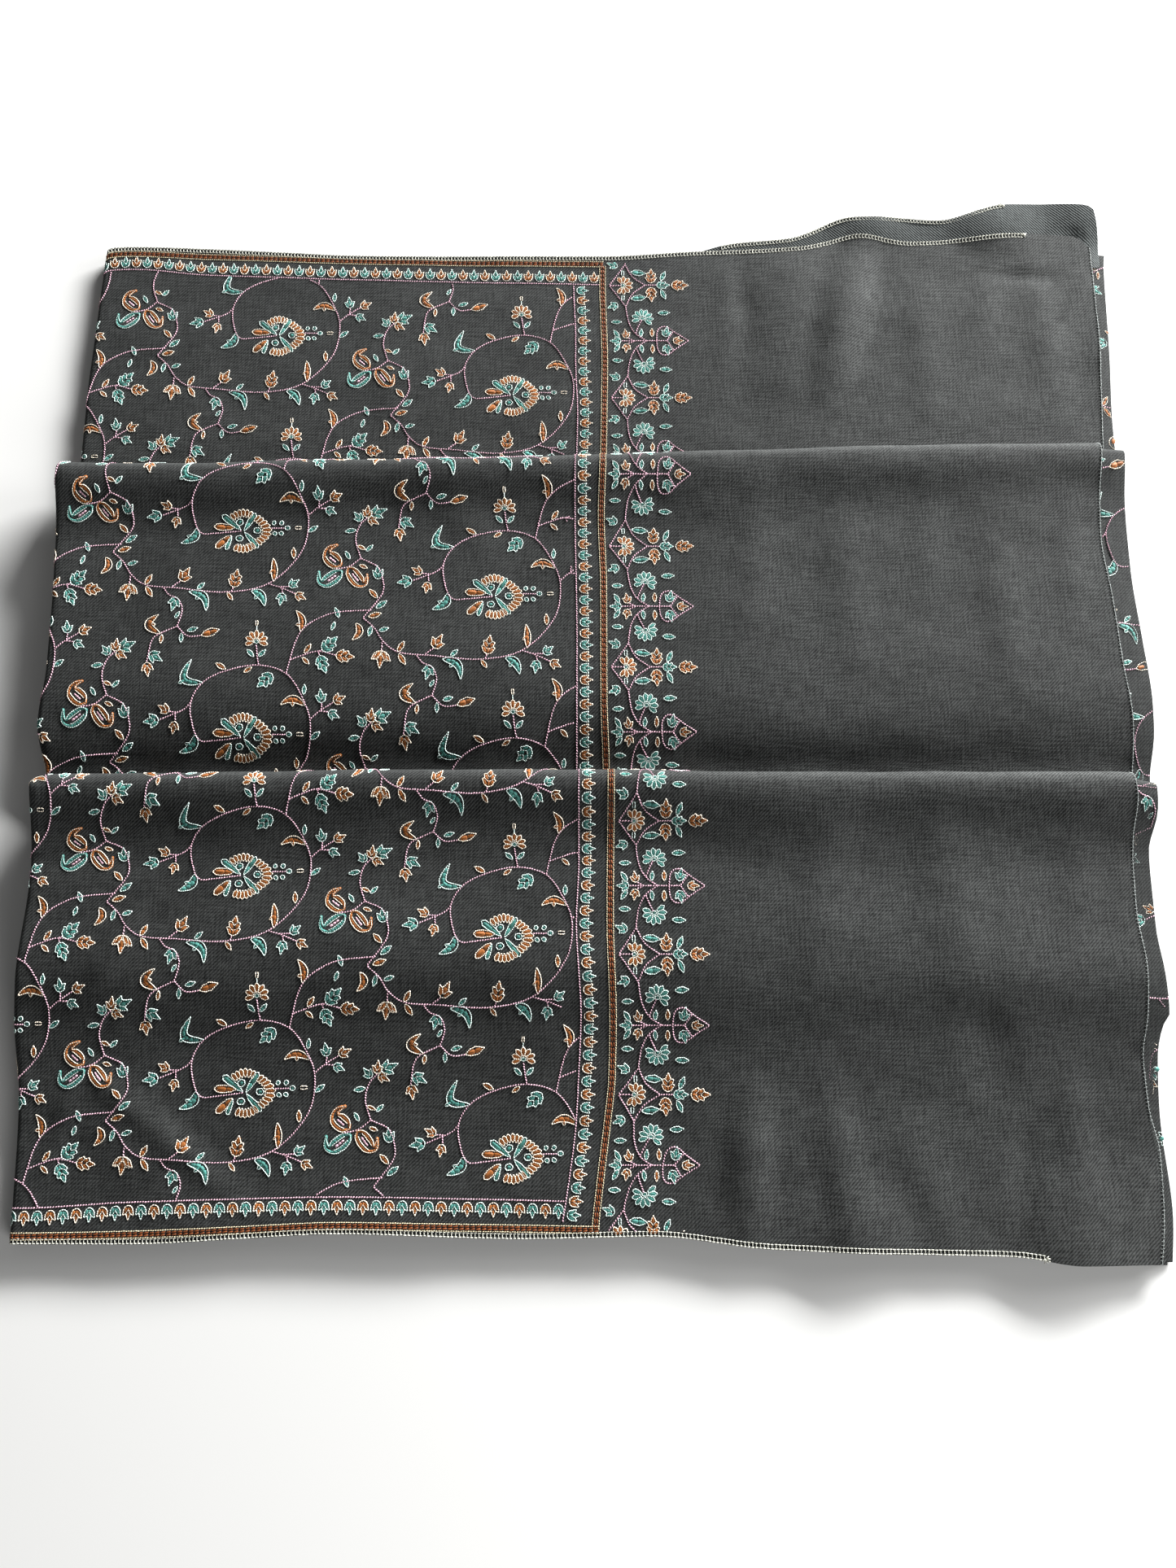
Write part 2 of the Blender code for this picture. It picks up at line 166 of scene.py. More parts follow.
# How far the pleats stand in from the nose above and from the front, how many times wider than high their
# sides are rounded, the gap over them, and the share of its tier that the front one reaches.
PLEAT_SETBACK = TURN_OUTER + RETURN_LENGTH + 0.6
PLEAT_INSET = 0.4
PLEAT_BULGE = 8
PLEAT_GAP = 0.3
FRONT_PLEAT_END = 0.62

# Tables of mounds and hollows have the columns x, y, half length, half width, turn in degrees, rise.
# Soft lifts of the two upper layers, the height over which they set in, and the second layer's share of them.
LIFTS = (
    (133, 236, 26, 20, 0, 2.2), (194, 238, 30, 24, 0, 3.0), (108, -236, 30, 34, 0, 2.4),
    (196, -238, 34, 40, 0, 2.8), (-90, -234, 52, 26, 0, 0.9),
)
LIFT_FADE = 0.3
SECOND_LIFT = 0.85
# Swells of whole stacks, the way from the nose over which they set in, and the height where they are whole.
SWELLS = (
    (-150, 92, 60, 24, 0, 0.6), (60, 88, 60, 26, 0, 0.8), (190, 78, 44, 30, 0, 0.9),
    (-20, 40, 80, 30, 0, -0.5), (-120, -70, 70, 24, 0, 0.7), (90, -66, 70, 26, 0, 0.8),
    (200, -90, 40, 40, 0, -0.7), (20, -120, 90, 30, 0, -0.6),
)
SWELL_FADE = 12
SWELL_HEIGHT = 4
# Creases of the uppermost layer, and the height over which they set in above the second layer.
CREASES = (
    (62, 178, 52, 10, 88, 0.5), (119, 187, 62, 18, 77, 3.8), (94, 182, 66, 30, 77, 2.2),
    (156, 170, 56, 14, 91, 0.7), (186, 188, 40, 12, 80, 0.6), (214, 176, 52, 13, 95, 0.8),
    (232, 196, 26, 6, 60, 0.7), (224, 206, 20, 4, 48, -0.5), (246, 160, 62, 17, 92, 1.5),
    (205, 207, 34, 6, -4, -0.9), (70, 196, 40, 9, 96, -0.5), (70, 60, 56, 14, 86, 0.6),
    (112, 44, 60, 16, 92, 0.8), (150, 66, 48, 12, 85, 0.5), (182, 34, 54, 15, 94, 0.8),
    (214, 58, 46, 12, 88, 0.6), (96, -92, 58, 18, 80, 0.8), (150, -98, 60, 20, 97, 0.9),
    (204, -92, 44, 14, 84, 0.6), (62, -206, 44, 15, 86, 2.2), (83, -206, 40, 13, 92, 0.6),
    (99, -204, 44, 15, 98, 1.7), (136, -216, 36, 15, 108, 1.0), (176, -210, 34, 10, 82, -0.8),
    (198, -196, 42, 13, 92, 1.1), (164, -160, 30, 16, 100, -1.0), (222, -222, 24, 8, 70, 0.7),
    (20, -214, 26, 10, 90, 0.5), (-196, 40, 44, 16, 60, 0.5), (-120, 10, 50, 14, 40, 0.4),
    (-60, 74, 44, 13, 120, 0.4), (-206, -120, 34, 9, 62, 0.7), (-180, -196, 66, 10, -38, 1.3),
    (-187, -205, 66, 24, -38, 1.2), (-224, -190, 28, 8, 75, 0.6), (-90, -110, 54, 15, 35, 0.4),
    (-30, -186, 46, 14, 70, 0.4), (-190, 170, 40, 12, 76, 0.4), (-100, 150, 46, 14, 100, 0.4),
)
CREASE_FADE = 0.6
# Small waves that keep any stretch from lying dead flat. Columns: wavelength, turn in degrees, offset, rise.
RIPPLES = (
    (61, 12, 0.4, 0.10), (43, 78, 1.7, 0.09), (29, 97, 2.9, 0.07), (19, 64, 0.9, 0.045),
    (13, 110, 3.3, 0.03),
)
# The second layer: its inset at the left, the far end and the number of its rows, the curl of its far corner,
# where small waves run along its hem, and the fall to its end.
SECOND_INSET = 2.6
SECOND_FAR = 245
SECOND_ROWS = 54
SECOND_CURL = ((243, 243, 26, 24, 0, 2.6),)
SECOND_WAVES = ((160, 240, 90, 20, 0, 1.0),)
SECOND_FALL = ((251, 222, 13, 20, 0, -2.4),)

# The rust band's middle and the pink line inside it, by tier, with the columns y, band x, pink x.
BANDS = {
    "back": (
        (95, 2, -11), (134, 2.6, -10), (162, 3, -11), (172, 2.8, -11), (203, 2, -12), (240, 2, -12),
    ),
    "middle": (
        (-60, 3, -10), (-39, 3, -10), (-6, 2, -10), (18, 2, -10), (42, 2, -10.3), (79, 1, -11),
        (106, 1.8, -11), (140, 2, -11),
    ),
    "front": (
        (-250, -2, -17), (-234, -2, -16), (-214, 0, -13), (-190, 3, -10), (-171, 5, -9), (-146, 5.5, -8),
        (-107, 4.4, -10), (-82, 4.6, -9), (-43, 5, -9), (-10, 5, -9),
    ),
}
# The same two lines along the hems, with the columns x, band y, pink y.
TOP_LINES = (
    (-250, 211.5, 203), (-244, 216, 207.5), (-237, 218.8, 210.4), (-228, 219.2, 210.8),
    (-190, 217.6, 207.6), (-93, 214.6, 204.4), (2, 213.6, 202.4),
)
BOTTOM_LINES = (
    (-250, -235, -224), (-240, -235, -224), (-193, -234.2, -221.6), (-151, -232.6, -220.4),
    (-107, -230.8, -219.6), (-53, -231.6, -220.4), (-2, -232.4, -221.6),
)
# Two rust lines side by side between two cream ones. Columns: place, thread, then how each is sewn.
BAND_THREADS = (
    (-1.35, "sand", 1.0, 0.36, 0.36),
    (-0.5, "rust", 2.3, 0.74, 0.36),
    (0.5, "rust", 2.3, 0.74, 0.36),
    (1.35, "sand", 1.0, 0.36, 0.36),
)
# Each tier's first medallion, the step down to the next and the step across, with the columns x, y of each.
LATTICES = {
    "back": ((-153.6, 174.7), (5.0, -96.0), (112.8, -31.5)),
    "middle": ((-162.2, 71.1), (5.0, -96.1), (115.2, -31.8)),
    "front": ((-152.7, -87.4), (4.6, -90.2), (112.2, -26.6)),
}
# The same two steps in the repeat as it is charted below.
CELL_DOWN = (2.3, -91.0)
CELL_ACROSS = (113.0, -29.2)
# Where a medallion of the turned-over layer lies beyond the mid-length fold, by tier. Its trellis shows as
# bits on the strip at the right. Columns: x, y.
FOLD_LATTICES = {"back": (283.0, 166.0), "middle": (256.5, 56.5), "front": (270.0, -112.0)}
# The middles of the border's cones (True) and diamonds (False), with the columns y, cone.
BORDER_AXES = {
    "back": (
        (82, False), (112, True), (142, False), (172, True), (202, False), (232, True),
    ),
    "middle": (
        (-80, True), (-51, False), (-22.5, True), (6, False), (34.5, True), (63.5, False), (97.5, True),
        (129, False),
    ),
    "front": (
        (-264, True), (-235.6, False), (-207, True), (-178.4, False), (-149.7, True), (-120.8, False),
        (-91.9, True), (-63, False), (-34, True), (-5, False),
    ),
}

# How lines are sewn. Columns: length of a stitch, its width, its height.
STEM = (1.12, 0.5, 0.4)
VINE = (1.12, 0.5, 0.42)
OUTLINE = (0.95, 0.4, 0.34)
VEIN = (0.95 * 1.3, 0.26, 0.34)
PAISLEY_BAND = (1.3, 1.25, 0.28)
PAISLEY_INNER = (0.95, 0.32, 0.34)
PAISLEY_HEART = (1.4, 0.9, 0.24)
OUTER_RAIL = (1.6, 0.5, 0.4)
INNER_RAIL = (1.6, 0.38, 0.34)
END_LINE = (2.0, 0.45, 0.32)
# How single stitches are sewn, with the columns width, height, and the spacing of two kinds.
BARB_FILL = (0.9, 0.3)
BARB_SIDE = (0.4, 0.34)
RUNG = (0.4, 0.32)
TAIL = (0.45, 0.5)
OVERCAST = (0.28, 0.26)
RUNG_STEP = 1.6
OVERCAST_STEP = 1.5
# Fillings are this much wider than their share of a motif's length, and this high.
FULLNESS = 1.3
FILL_HEIGHT = 0.27
# Spacing of the buds, their length, and how far the ends of the trellis's lines stay clear of the pink line.
BUD_STEP = 5.3
BUD_LENGTH = 5.6
LINE_CLEAR = 0.6
# Where a hem's edging ends, its cut tails fan out at these angles.
TAILS = (-40, 5, 35, 70, 110, 150)
# Spacing of the twill's ribs, and how deep stitches lie in the cloth.
RIB = 1.1
STITCH_SUNK = 0.06
# How a stitch's eight points lie: along it, to its side and up from the cloth, as shares of its sizes.
STITCH_ALONG = np.array([0, 0.2, 0.2, 0.2, 0.8, 0.8, 0.8, 1])
STITCH_ASIDE = np.array([0, -0.5, 0, 0.5, -0.5, 0, 0.5, 0])
STITCH_UP = np.array([0.1, 0.15, 1, 0.15, 0.15, 1, 0.15, 0.1])
STITCH_FACES = np.array(
    [
        (0, 2, 1), (0, 3, 2), (0, 1, 3), (1, 2, 5), (1, 5, 4), (2, 3, 6),
        (2, 6, 5), (3, 1, 4), (3, 4, 6), (7, 4, 5), (7, 5, 6), (7, 6, 4),
    ]
)
# The slot of each thread, whose colour is the setting of the same name, and the first one's random seed.
THREAD_SLOTS = {
    "pink": "thread_pink",
    "teal": "thread_teal",
    "mint": "thread_mint",
    "orange": "thread_orange",
    "ecru": "thread_cream",
    "rust": "thread_orange",
    "sand": "thread_cream",
    "ladder": "thread_cream",
    "grey": "thread_cream",
}
FIRST_SEED = 11
# Each motif colour's thread for its outline and for its filling.
PAIRS = {
    "teal": ("mint", "teal"),
    "orange": ("ecru", "orange"),
    "mint": ("mint", "mint"),
    "ecru": ("ecru", "ecru"),
}

# Motifs along u from base 0 to tip 1, v to one side. Each has half an outline, with the columns u, v, then
# its fillings, with the columns u, v, u, v, width, and its veins. What lies off the middle is mirrored.
SHAPES = {
    "leaf": (
        ((0, 0), (0.25, 0.16), (0.6, 0.2), (1, 0)),
        ((0.1, 0, 0.55, 0, 0.2), (0.45, 0, 0.9, 0, 0.18)),
        (),
    ),
    "bud": (
        ((0, 0), (0.12, 0.26), (0.56, 0.42), (0.5, 0.2), (1, 0)),
        ((0.26, 0, 0.66, 0, 0.2), (0.58, 0, 0.95, 0, 0.14), (0.1, 0.1, 0.5, 0.3, 0.2)),
        (((0.5, 0.2), (0.2, 0)),),
    ),
    "lobed": (
        ((0, 0), (0.1, 0.2), (0.38, 0.35), (0.42, 0.23), (0.66, 0.3), (0.68, 0.15), (1, 0)),
        (
            (0.08, 0.1, 0.36, 0.25, 0.15),
            (0.34, 0.08, 0.62, 0.22, 0.15),
            (0.6, 0, 0.95, 0, 0.17),
            (0.06, 0, 0.34, 0, 0.12),
        ),
        (((0.42, 0.23), (0.24, 0)), ((0.68, 0.15), (0.5, 0))),
    ),
    "tulip": (
        ((0, 0), (0.06, 0.2), (0.26, 0.34), (0.7, 0.4), (0.58, 0.17), (1.04, 0)),
        ((0.1, 0, 0.5, 0, 0.2), (0.5, 0, 0.94, 0, 0.16), (0.1, 0.14, 0.58, 0.28, 0.17)),
        (((0.58, 0.17), (0.28, 0)),),
    ),
    "petal": (((0, 0), (0.36, 0.2), (0.74, 0.23), (1, 0)), ((0.06, 0, 0.97, 0, 0.36),), ()),
    "pod": (
        ((0, 0), (0.2, 0.12), (0.6, 0.17), (0.86, 0.14), (1, 0)),
        ((0.06, 0, 0.5, 0, 0.19), (0.4, 0, 0.95, 0, 0.22)),
        (),
    ),
    "blade": (
        ((0, 0), (0.25, 0.08), (0.6, 0.12), (0.88, 0.12), (1, 0)),
        ((0.05, 0, 0.5, 0, 0.12), (0.4, 0, 0.95, 0, 0.15)),
        (),
    ),
    "ring": (((0, 0.1), (0.1, 0.22), (0.9, 0.22), (1, 0.1)), (), ()),
    "seed": (((0, 0), (0.2, 0.36), (0.75, 0.38), (1, 0)), ((0.25, 0, 0.8, 0, 0.34),), ()),
}

# The vine and its side stems, from one medallion, with the columns x, y of their bends.
VINES = (
    (
        (-1, 0), (-13, -1.3), (-19, -1.3), (-22, 4), (-23, 14), (-18, 22.4), (-8, 27.6), (6, 30.2),
        (18.5, 26.6), (26, 16), (29.3, 5), (26, -10), (12, -24), (-7, -28.3), (-28.5, -26.8),
        (-42.5, -25.5), (-49.5, -21), (-53.5, -15), (-58.7, -10.3),
    ),
    ((-58.7, -10.3), (-50.5, 0.4), (-50.1, 7), (-52.5, 13), (-60.1, 16.8)),
    ((-60.1, 16.8), (-65.2, 13), (-71.5, 11.8)),
    ((-60.1, 16.8), (-62.4, 25), (-60.8, 31.8), (-57.1, 35.9)),
    ((-23, 14.1), (-26.2, 11), (-36.7, 6.8)),
    ((-29.8, 9.7), (-29.7, 6.6)),
    ((-29.3, 9.9), (-32.6, 10.2)),
    ((6.2, 30.2), (5.5, 34), (4.9, 39.2)),
    ((18.5, 26.7), (20, 33), (22.3, 41), (26, 47), (33, 51.5), (41, 54), (55.8, 55.1)),
    ((19.9, 32.6), (25.4, 34.6), (32.4, 36.4), (40.3, 34.6)),
    ((32.4, 36.4), (33, 34.6)),
    ((32.4, 36.4), (34.3, 37)),
    ((29.4, 7.7), (33.4, 11), (39.3, 14.6)),
    ((34, 11.3), (34.3, 14.3)),
    ((33.4, 11), (37.2, 10.6)),
    ((11.3, -24.2), (17.4, -26.1), (24, -28.9)),
    ((16, -25.6), (21.1, -25.6)),
    ((17.8, -26.4), (18.2, -28.5)),
    ((-4.8, -28.2), (-3.8, -26.1)),
    ((-31.3, -26.4), (-27.4, -23.6)),
    ((-50.1, -21), (-50.4, -24.9)),
    ((-35, -26.6), (-32.2, -30), (-28.1, -31.8), (-26.1, -37), (-28.1, -43.9)),
    ((-28.1, -43.9), (-36.3, -47.6), (-39.1, -50.5), (-40.2, -55.3), (-40.8, -60)),
    ((-28.1, -43.9), (-24.4, -47.6), (-21.8, -48.5), (-17.4, -47.9)),
    ((12.2, 1.4), (18.4, 1.4)),
)
# The trellis's motifs, with the columns shape, colour, x, y, length, turn in degrees.
MOTIFS = (
    ("leaf", "orange", -8.1, 28.3, 5.3, 150),
    ("leaf", "orange", 3.3, 29.3, 4.3, -147),
    ("leaf", "teal", 4, 33.9, 4.6, 135),
    ("leaf", "teal", 6, 33.9, 4.5, 46),
    ("lobed", "teal", 12.4, 26.4, 8.9, -139),
    ("leaf", "teal", 26.3, 17.6, 4.5, 84),
    ("leaf", "teal", 29.2, -0.4, 5.2, 36),
    ("leaf", "orange", 22.8, -12.7, 5.1, 92),
    ("lobed", "orange", -3.8, -26.1, 8.7, 80),
    ("leaf", "orange", -6.5, -28.5, 4.3, -54),
    ("leaf", "teal", -20, -27.1, 4.5, 41),
    ("bud", "orange", -27.3, -23.6, 7.4, 59),
    ("leaf", "orange", -43.3, -25.3, 5.6, 59),
    ("leaf", "orange", -42.9, -26.0, 5.8, -58),
    ("bud", "orange", -50.4, -24.9, 7.8, -97),
    ("leaf", "orange", -50.4, -24.9, 6.0, -140),
    ("leaf", "orange", -50.4, -24.9, 6.0, -50),
    ("leaf", "teal", -51.7, -16.1, 4.7, 18),
    ("leaf", "teal", -54.9, -13.9, 4.9, -105),
    ("leaf", "orange", -56.4, -9.9, 6.1, 17),
    ("leaf", "teal", -53.1, -5.9, 6.0, 36),
    ("leaf", "orange", -52.4, -1.2, 5.5, 134),
    ("tulip", "teal", -52, 7.5, 6.0, 97),
    ("bud", "orange", -32.6, 10.2, 5.5, 152),
    ("bud", "teal", -37.1, 7.0, 7.0, -170),
    ("bud", "orange", -29.8, 6.2, 5.4, -104),
    ("bud", "orange", 39.3, 14.9, 5.9, 23),
    ("bud", "teal", 34.3, 14.4, 5.9, 98),
    ("bud", "teal", 37.2, 10.6, 5.3, -26),
    ("lobed", "teal", 34.3, 36.6, 9.1, 44),
    ("lobed", "teal", 32.9, 34.4, 8.3, -67),
    ("lobed", "orange", 40.3, 34.6, 8.2, -5),
    ("leaf", "orange", 26.2, 35.5, 5.1, 55),
    ("leaf", "orange", 25.4, 33.7, 4.4, -43),
    ("bud", "teal", -28.9, -31.0, 6.7, -108),
    ("leaf", "teal", -29.3, -40.3, 3.6, 54),
    ("leaf", "orange", -34.6, -47.6, 4.1, -98),
    ("bud", "teal", -39.9, -56.0, 6.9, -30),
    ("bud", "orange", -40.8, -60.0, 6.4, -82),
    ("leaf", "teal", -23.6, -45.9, 4.9, 16),
    ("leaf", "teal", -26, -46.8, 4.4, -93),
    ("leaf", "orange", -17.4, -47.9, 8.6, 19),
    ("leaf", "teal", -57.8, 20.1, 4.3, 43),
    ("leaf", "teal", -64.9, 16.4, 4.3, 121),
    ("leaf", "orange", -60.8, 13.8, 4.0, -20),
    ("leaf", "teal", -62.3, 30.0, 5.3, 190),
    ("leaf", "orange", -61.6, 22.6, 4.0, -25),
    ("bud", "teal", -59.7, 34.4, 5.4, 132),
    ("bud", "orange", -57.5, 35.9, 5.8, 82),
    ("bud", "teal", -55.5, 37.0, 7.8, 23),
    ("bud", "orange", -56.8, 35.5, 5.5, -30),
    ("leaf", "teal", -69.4, -10.2, 4.8, 112),
    ("leaf", "teal", -71.2, -12.1, 4.3, -110),
    ("bud", "teal", 21.1, -25.6, 5.5, 37),
    ("bud", "teal", 18.2, -28.5, 6.0, -101),
    ("bud", "orange", 24, -28.9, 5.4, -28),
    ("seed", "teal", 13.2, 3.0, 2.0, 60),
    ("seed", "teal", 16.4, 3.0, 2.2, 50),
    ("seed", "teal", 13.4, -0.4, 2.1, -50),
    ("seed", "teal", 16.2, -0.4, 2.1, -40),
    ("seed", "teal", 18.6, 1.5, 2.4, 0),
    ("ring", "ecru", 23.2, 1.6, 2.8, 0),
)
# Horn leaves. Columns: colour, x and y of base, bend and tip, width, and where a barb stands: a share of the
# length, on the hollow side, or on the outer side if below nothing.
HORNS = (
    ("teal", -18.0, 22.4, -29.8, 22.0, -23.4, 32.4, 3.3, -0.46),
    ("orange", 26.9, 13.2, 21.4, 17.4, 16.2, 13.4, 3.0, 0.55),
    ("teal", -21.3, 1.0, -20.8, -4.0, -28.2, -6.2, 3.7, 0.5),
    ("orange", 14.0, -23.2, 14.4, -17.4, 13.6, -12.6, 2.8, 0.55),
    ("teal", 4.2, -27.6, 9.4, -28.6, 10.4, -34.6, 3.7, 0.42),
    ("teal", -23.6, -28.4, -15.4, -29.0, -15.6, -37.0, 3.5, 0.42),
    ("orange", -35.3, -47.2, -44.0, -43.6, -36.4, -38.9, 3.3, 0.5),
    ("orange", -61.8, -12.8, -58.6, -16.6, -63.4, -20.4, 3.0, 0),
    ("orange", 24.2, 45.2, 26.2, 50.4, 22.2, 54.6, 3.0, 0.35),
)
# Paisleys, with the columns colour, x and y of foot, bend and tip, width.
PAISLEYS = (
    ("orange", -69.0, 13.4, -77.2, 19.0, -70.6, 22.8, 6.9),
    ("teal", -68.6, 11.0, -78.0, 3.2, -78.8, 10.8, 6.0),
    ("orange", -65.7, 12.6, -59.0, 2.8, -57.2, 9.6, 6.2),
)
# How wide a paisley is along its middle line, with the columns share, width.
PAISLEY_WIDTHS = (
    (0, 0), (0.03, 0.5), (0.1, 0.85), (0.22, 1), (0.38, 0.94), (0.5, 0.66), (0.64, 0.36), (0.84, 0.24),
    (1, 0),
)
# The medallion's petals stand on an oval. Columns: first and last angle in degrees, number of petals.
MEDALLION_FANS = ((126, 68, 6), (44, -38, 9), (-58, -112, 6))
# The oval's outer reach, with the columns angle in degrees, radius.
MEDALLION_OVAL = (
    (-140, 10.0), (-112, 10.5), (-90, 10.5), (-60, 10.0), (-38, 10.4), (0, 12.8), (40, 10.4), (66, 9.8),
    (90, 10.2), (128, 10.0),
)
# What else the medallion holds, with the columns of the trellis's motifs.
MEDALLION = (
    ("blade", "teal", 0.0, 0.0, 10.0, 57),
    ("blade", "teal", -1.2, 0.4, 11.0, 141),
    ("blade", "teal", 0.2, -0.4, 10.0, -49),
    ("blade", "teal", -5.4, -2.4, 7.0, -110),
    ("pod", "orange", -4.0, 1.6, 9.4, 178),
    ("pod", "orange", -5.6, -2.2, 9.2, -139),
    ("seed", "teal", -3.2, 2.8, 3.6, 42),
    ("seed", "teal", 4.4, 0.3, 3.4, 0),
    ("seed", "teal", -3.6, -3.8, 3.4, 8),
)

# The border's lines, from the band and from a cone's middle (0) to a diamond's (1). Columns: x, share.
BORDER_LINES = (
    ((8, 0), (25.1, 0), (30, 0)),
    ((25.1, 0), (25.6, 0.16), (27.5, 0.245), (30.5, 0.245), (34, 0.15), (40.5, 0)),
    ((30, 0), (33.2, 0.16)),
    ((20.4, 0), (15.4, 0.12), (12.4, 0.3), (11.3, 0.5), (11, 0.62)),
    ((11, 0.62), (7.4, 0.8), (3.3, 1)),
    ((11, 0.62), (14.4, 0.84), (20.6, 1)),
    ((15.2, 0.13), (16.4, 0.24), (18.4, 0.38)),
    ((3.3, 1), (9.4, 1)),
    ((20.6, 1), (26, 1)),
    ((14.5, 0), (11.3, 0.05)),
)
# The border's motifs, with the columns shape, colour, x, share, length, turn in degrees towards the diamond.
BORDER_MOTIFS = (
    ("bud", "teal", 8.0, 0, 5.5, 180),
    ("leaf", "teal", 7.2, 0.06, 5.0, 122),
    ("bud", "orange", 10.9, 0.05, 5.0, 100),
    ("leaf", "teal", 17.6, 0.07, 4.4, 84),
    ("leaf", "orange", 23.0, 0.07, 4.6, 90),
    ("bud", "teal", 29.4, 0.07, 5.8, 78),
    ("bud", "orange", 33.0, 0, 5.2, 0),
    ("leaf", "teal", 3.6, 0.34, 5.2, 2),
    ("bud", "teal", 7.2, 0.66, 5.6, -158),
    ("leaf", "teal", 26.2, 0.5, 6.0, 3),
    ("leaf", "teal", 13.6, 0.76, 7.6, 6),
    ("lobed", "orange", 23.4, 0.96, 7.8, -88),
    ("leaf", "teal", 28.2, 0.92, 5.6, -66),
    ("ring", "mint", 9.8, 0.82, 2.6, -90),
    ("lobed", "teal", 26.2, 1, 6.4, 0),
    ("lobed", "orange", 33.4, 1, 8.4, 0),
)
# The border's flowers are fans. Columns: colour, x, share, width, middle and half spread in degrees.
BORDER_FLOWERS = (("orange", 9.8, 1, 9.2, 0, 118), ("teal", 18.8, 0.4, 9.8, 80, 116))

# The lamps. Columns: name, place, what it shines on, width, height, watts. These lengths are metres.
LAMPS = (
    ("window", (1.4, 2.1, 0.62), (0.0, 0.0, 0.0), 1.6, 0.4, 268.0),
    ("side", (0.75, 0.25, 0.2), (0.2, 0.0, 0.0), 0.5, 0.2, 7.0),
    ("fill", (0.7, -1.2, 0.4), (0.18, -0.12, 0.0), 1.0, 0.5, 11.0),
)
# The light from all round, and the floor's height and half its side in metres.
ROOM_LIGHT = 0.1
FLOOR_Z = -0.0005
FLOOR_HALF = 3
# The camera, solved from the corners of the folded cloth: metres, degrees from straight down, lens, sensor.
CAMERA_PLACE = (-0.005, -0.154, 0.514)
CAMERA_TILT = 12
LENS = 27.03
SENSOR = 36.0


def smooth(table, at, column=1):
    """A column of a table read at values of its first, along a cubic that never swings past the points.

    Each point's slope is the harmonic mean of the two chords beside it, or nothing where they turn.
    """
    knots = np.array(table, float)
    x, y = knots[:, 0], knots[:, column]
    chords = np.diff(y) / np.diff(x)
    before, after = chords[:-1], chords[1:]
    same_way = before * after > 0
    means = np.where(same_way, 2 * before * after / np.where(same_way, before + after, 1), 0)
    slopes = np.concatenate([chords[:1], means, chords[-1:]])
    at = np.clip(at, x[0], x[-1])
    place = np.clip(np.searchsorted(x, at, side="right") - 1, 0, len(chords) - 1)
    width = x[place + 1] - x[place]
    t = (at - x[place]) / width
    rise = y[place] * (1 + 2 * t) * (1 - t) ** 2 + y[place + 1] * t * t * (3 - 2 * t)
    return rise + width * (slopes[place] * t * (1 - t) ** 2 - slopes[place + 1] * t * t * (1 - t))


def turned(x, y, degrees):
    """A place turned about the origin: its x and its y."""
    cosine, sine = math.cos(math.radians(degrees)), math.sin(math.radians(degrees))
    return x * cosine - y * sine, x * sine + y * cosine


def mounds(table, x, y):
    """The sum of rounded mounds or hollows, each a squared cosine over a turned ellipse."""
    total = np.zeros(np.broadcast(x, y).shape)
    for centre_x, centre_y, length, width, turn, rise in table:
        u, v = turned(x - centre_x, y - centre_y, -turn)
        reach = np.minimum(np.hypot(u / length, v / width), 1)
        total = total + rise * np.cos(reach * math.pi / 2) ** 2
    return total


def creases(x, y, depth):
    """The listed creases and the small sine waves, scaled to a depth."""
    total = mounds(CREASES, x, y)
    for wavelength, turn, offset, rise in RIPPLES:
        total = total + rise * np.sin(turned(x, y, -turn)[0] * 2 * math.pi / wavelength + offset)
    return total * depth


def between(first, last, shares):
    """For each row, points spread from its first to its last."""
    return first[:, None] + (last - first)[:, None] * shares


def run(line):
    """The length of a line of points up to each of them."""
    return np.concatenate([[0], np.cumsum(np.hypot(*np.diff(line, axis=0).T))])


def along(line, at):
    """The points of a line at given lengths of its run."""
    lengths = run(line)
    return np.stack([np.interp(at, lengths, line[:, 0]), np.interp(at, lengths, line[:, 1])], -1)


def aside(ahead):
    """Steps given a quarter turn to the left."""
    return np.stack([-ahead[:, 1], ahead[:, 0]], -1)


def beside(line, widths):
    """A line moved to its left by a width at each point."""
    ahead = np.gradient(line, axis=0)
    return line + aside(ahead) / np.hypot(*ahead.T)[:, None] * widths[:, None]


def curve(points, spacing=0.6):
    """A round curve through points: a cubic whose slope at each point follows its two neighbours."""
    points = np.asarray(points, float)
    if len(points) == 2:
        return points
    before = np.vstack([2 * points[0] - points[1], points, 2 * points[-1] - points[-2]])
    parts = []
    for i in range(len(points) - 1):
        p0, p1, p2, p3 = before[i : i + 4]
        t = np.linspace(0, 1, max(2, int(np.hypot(*(p2 - p1)) / spacing)), endpoint=False)[:, None]
        squared, cubed = p0 - 2.5 * p1 + 2 * p2 - 0.5 * p3, 1.5 * (p1 - p2) + (p3 - p0) / 2
        parts.append(p1 + (p2 - p0) / 2 * t + squared * t**2 + cubed * t**3)
    return np.vstack(parts + [points[-1:]])


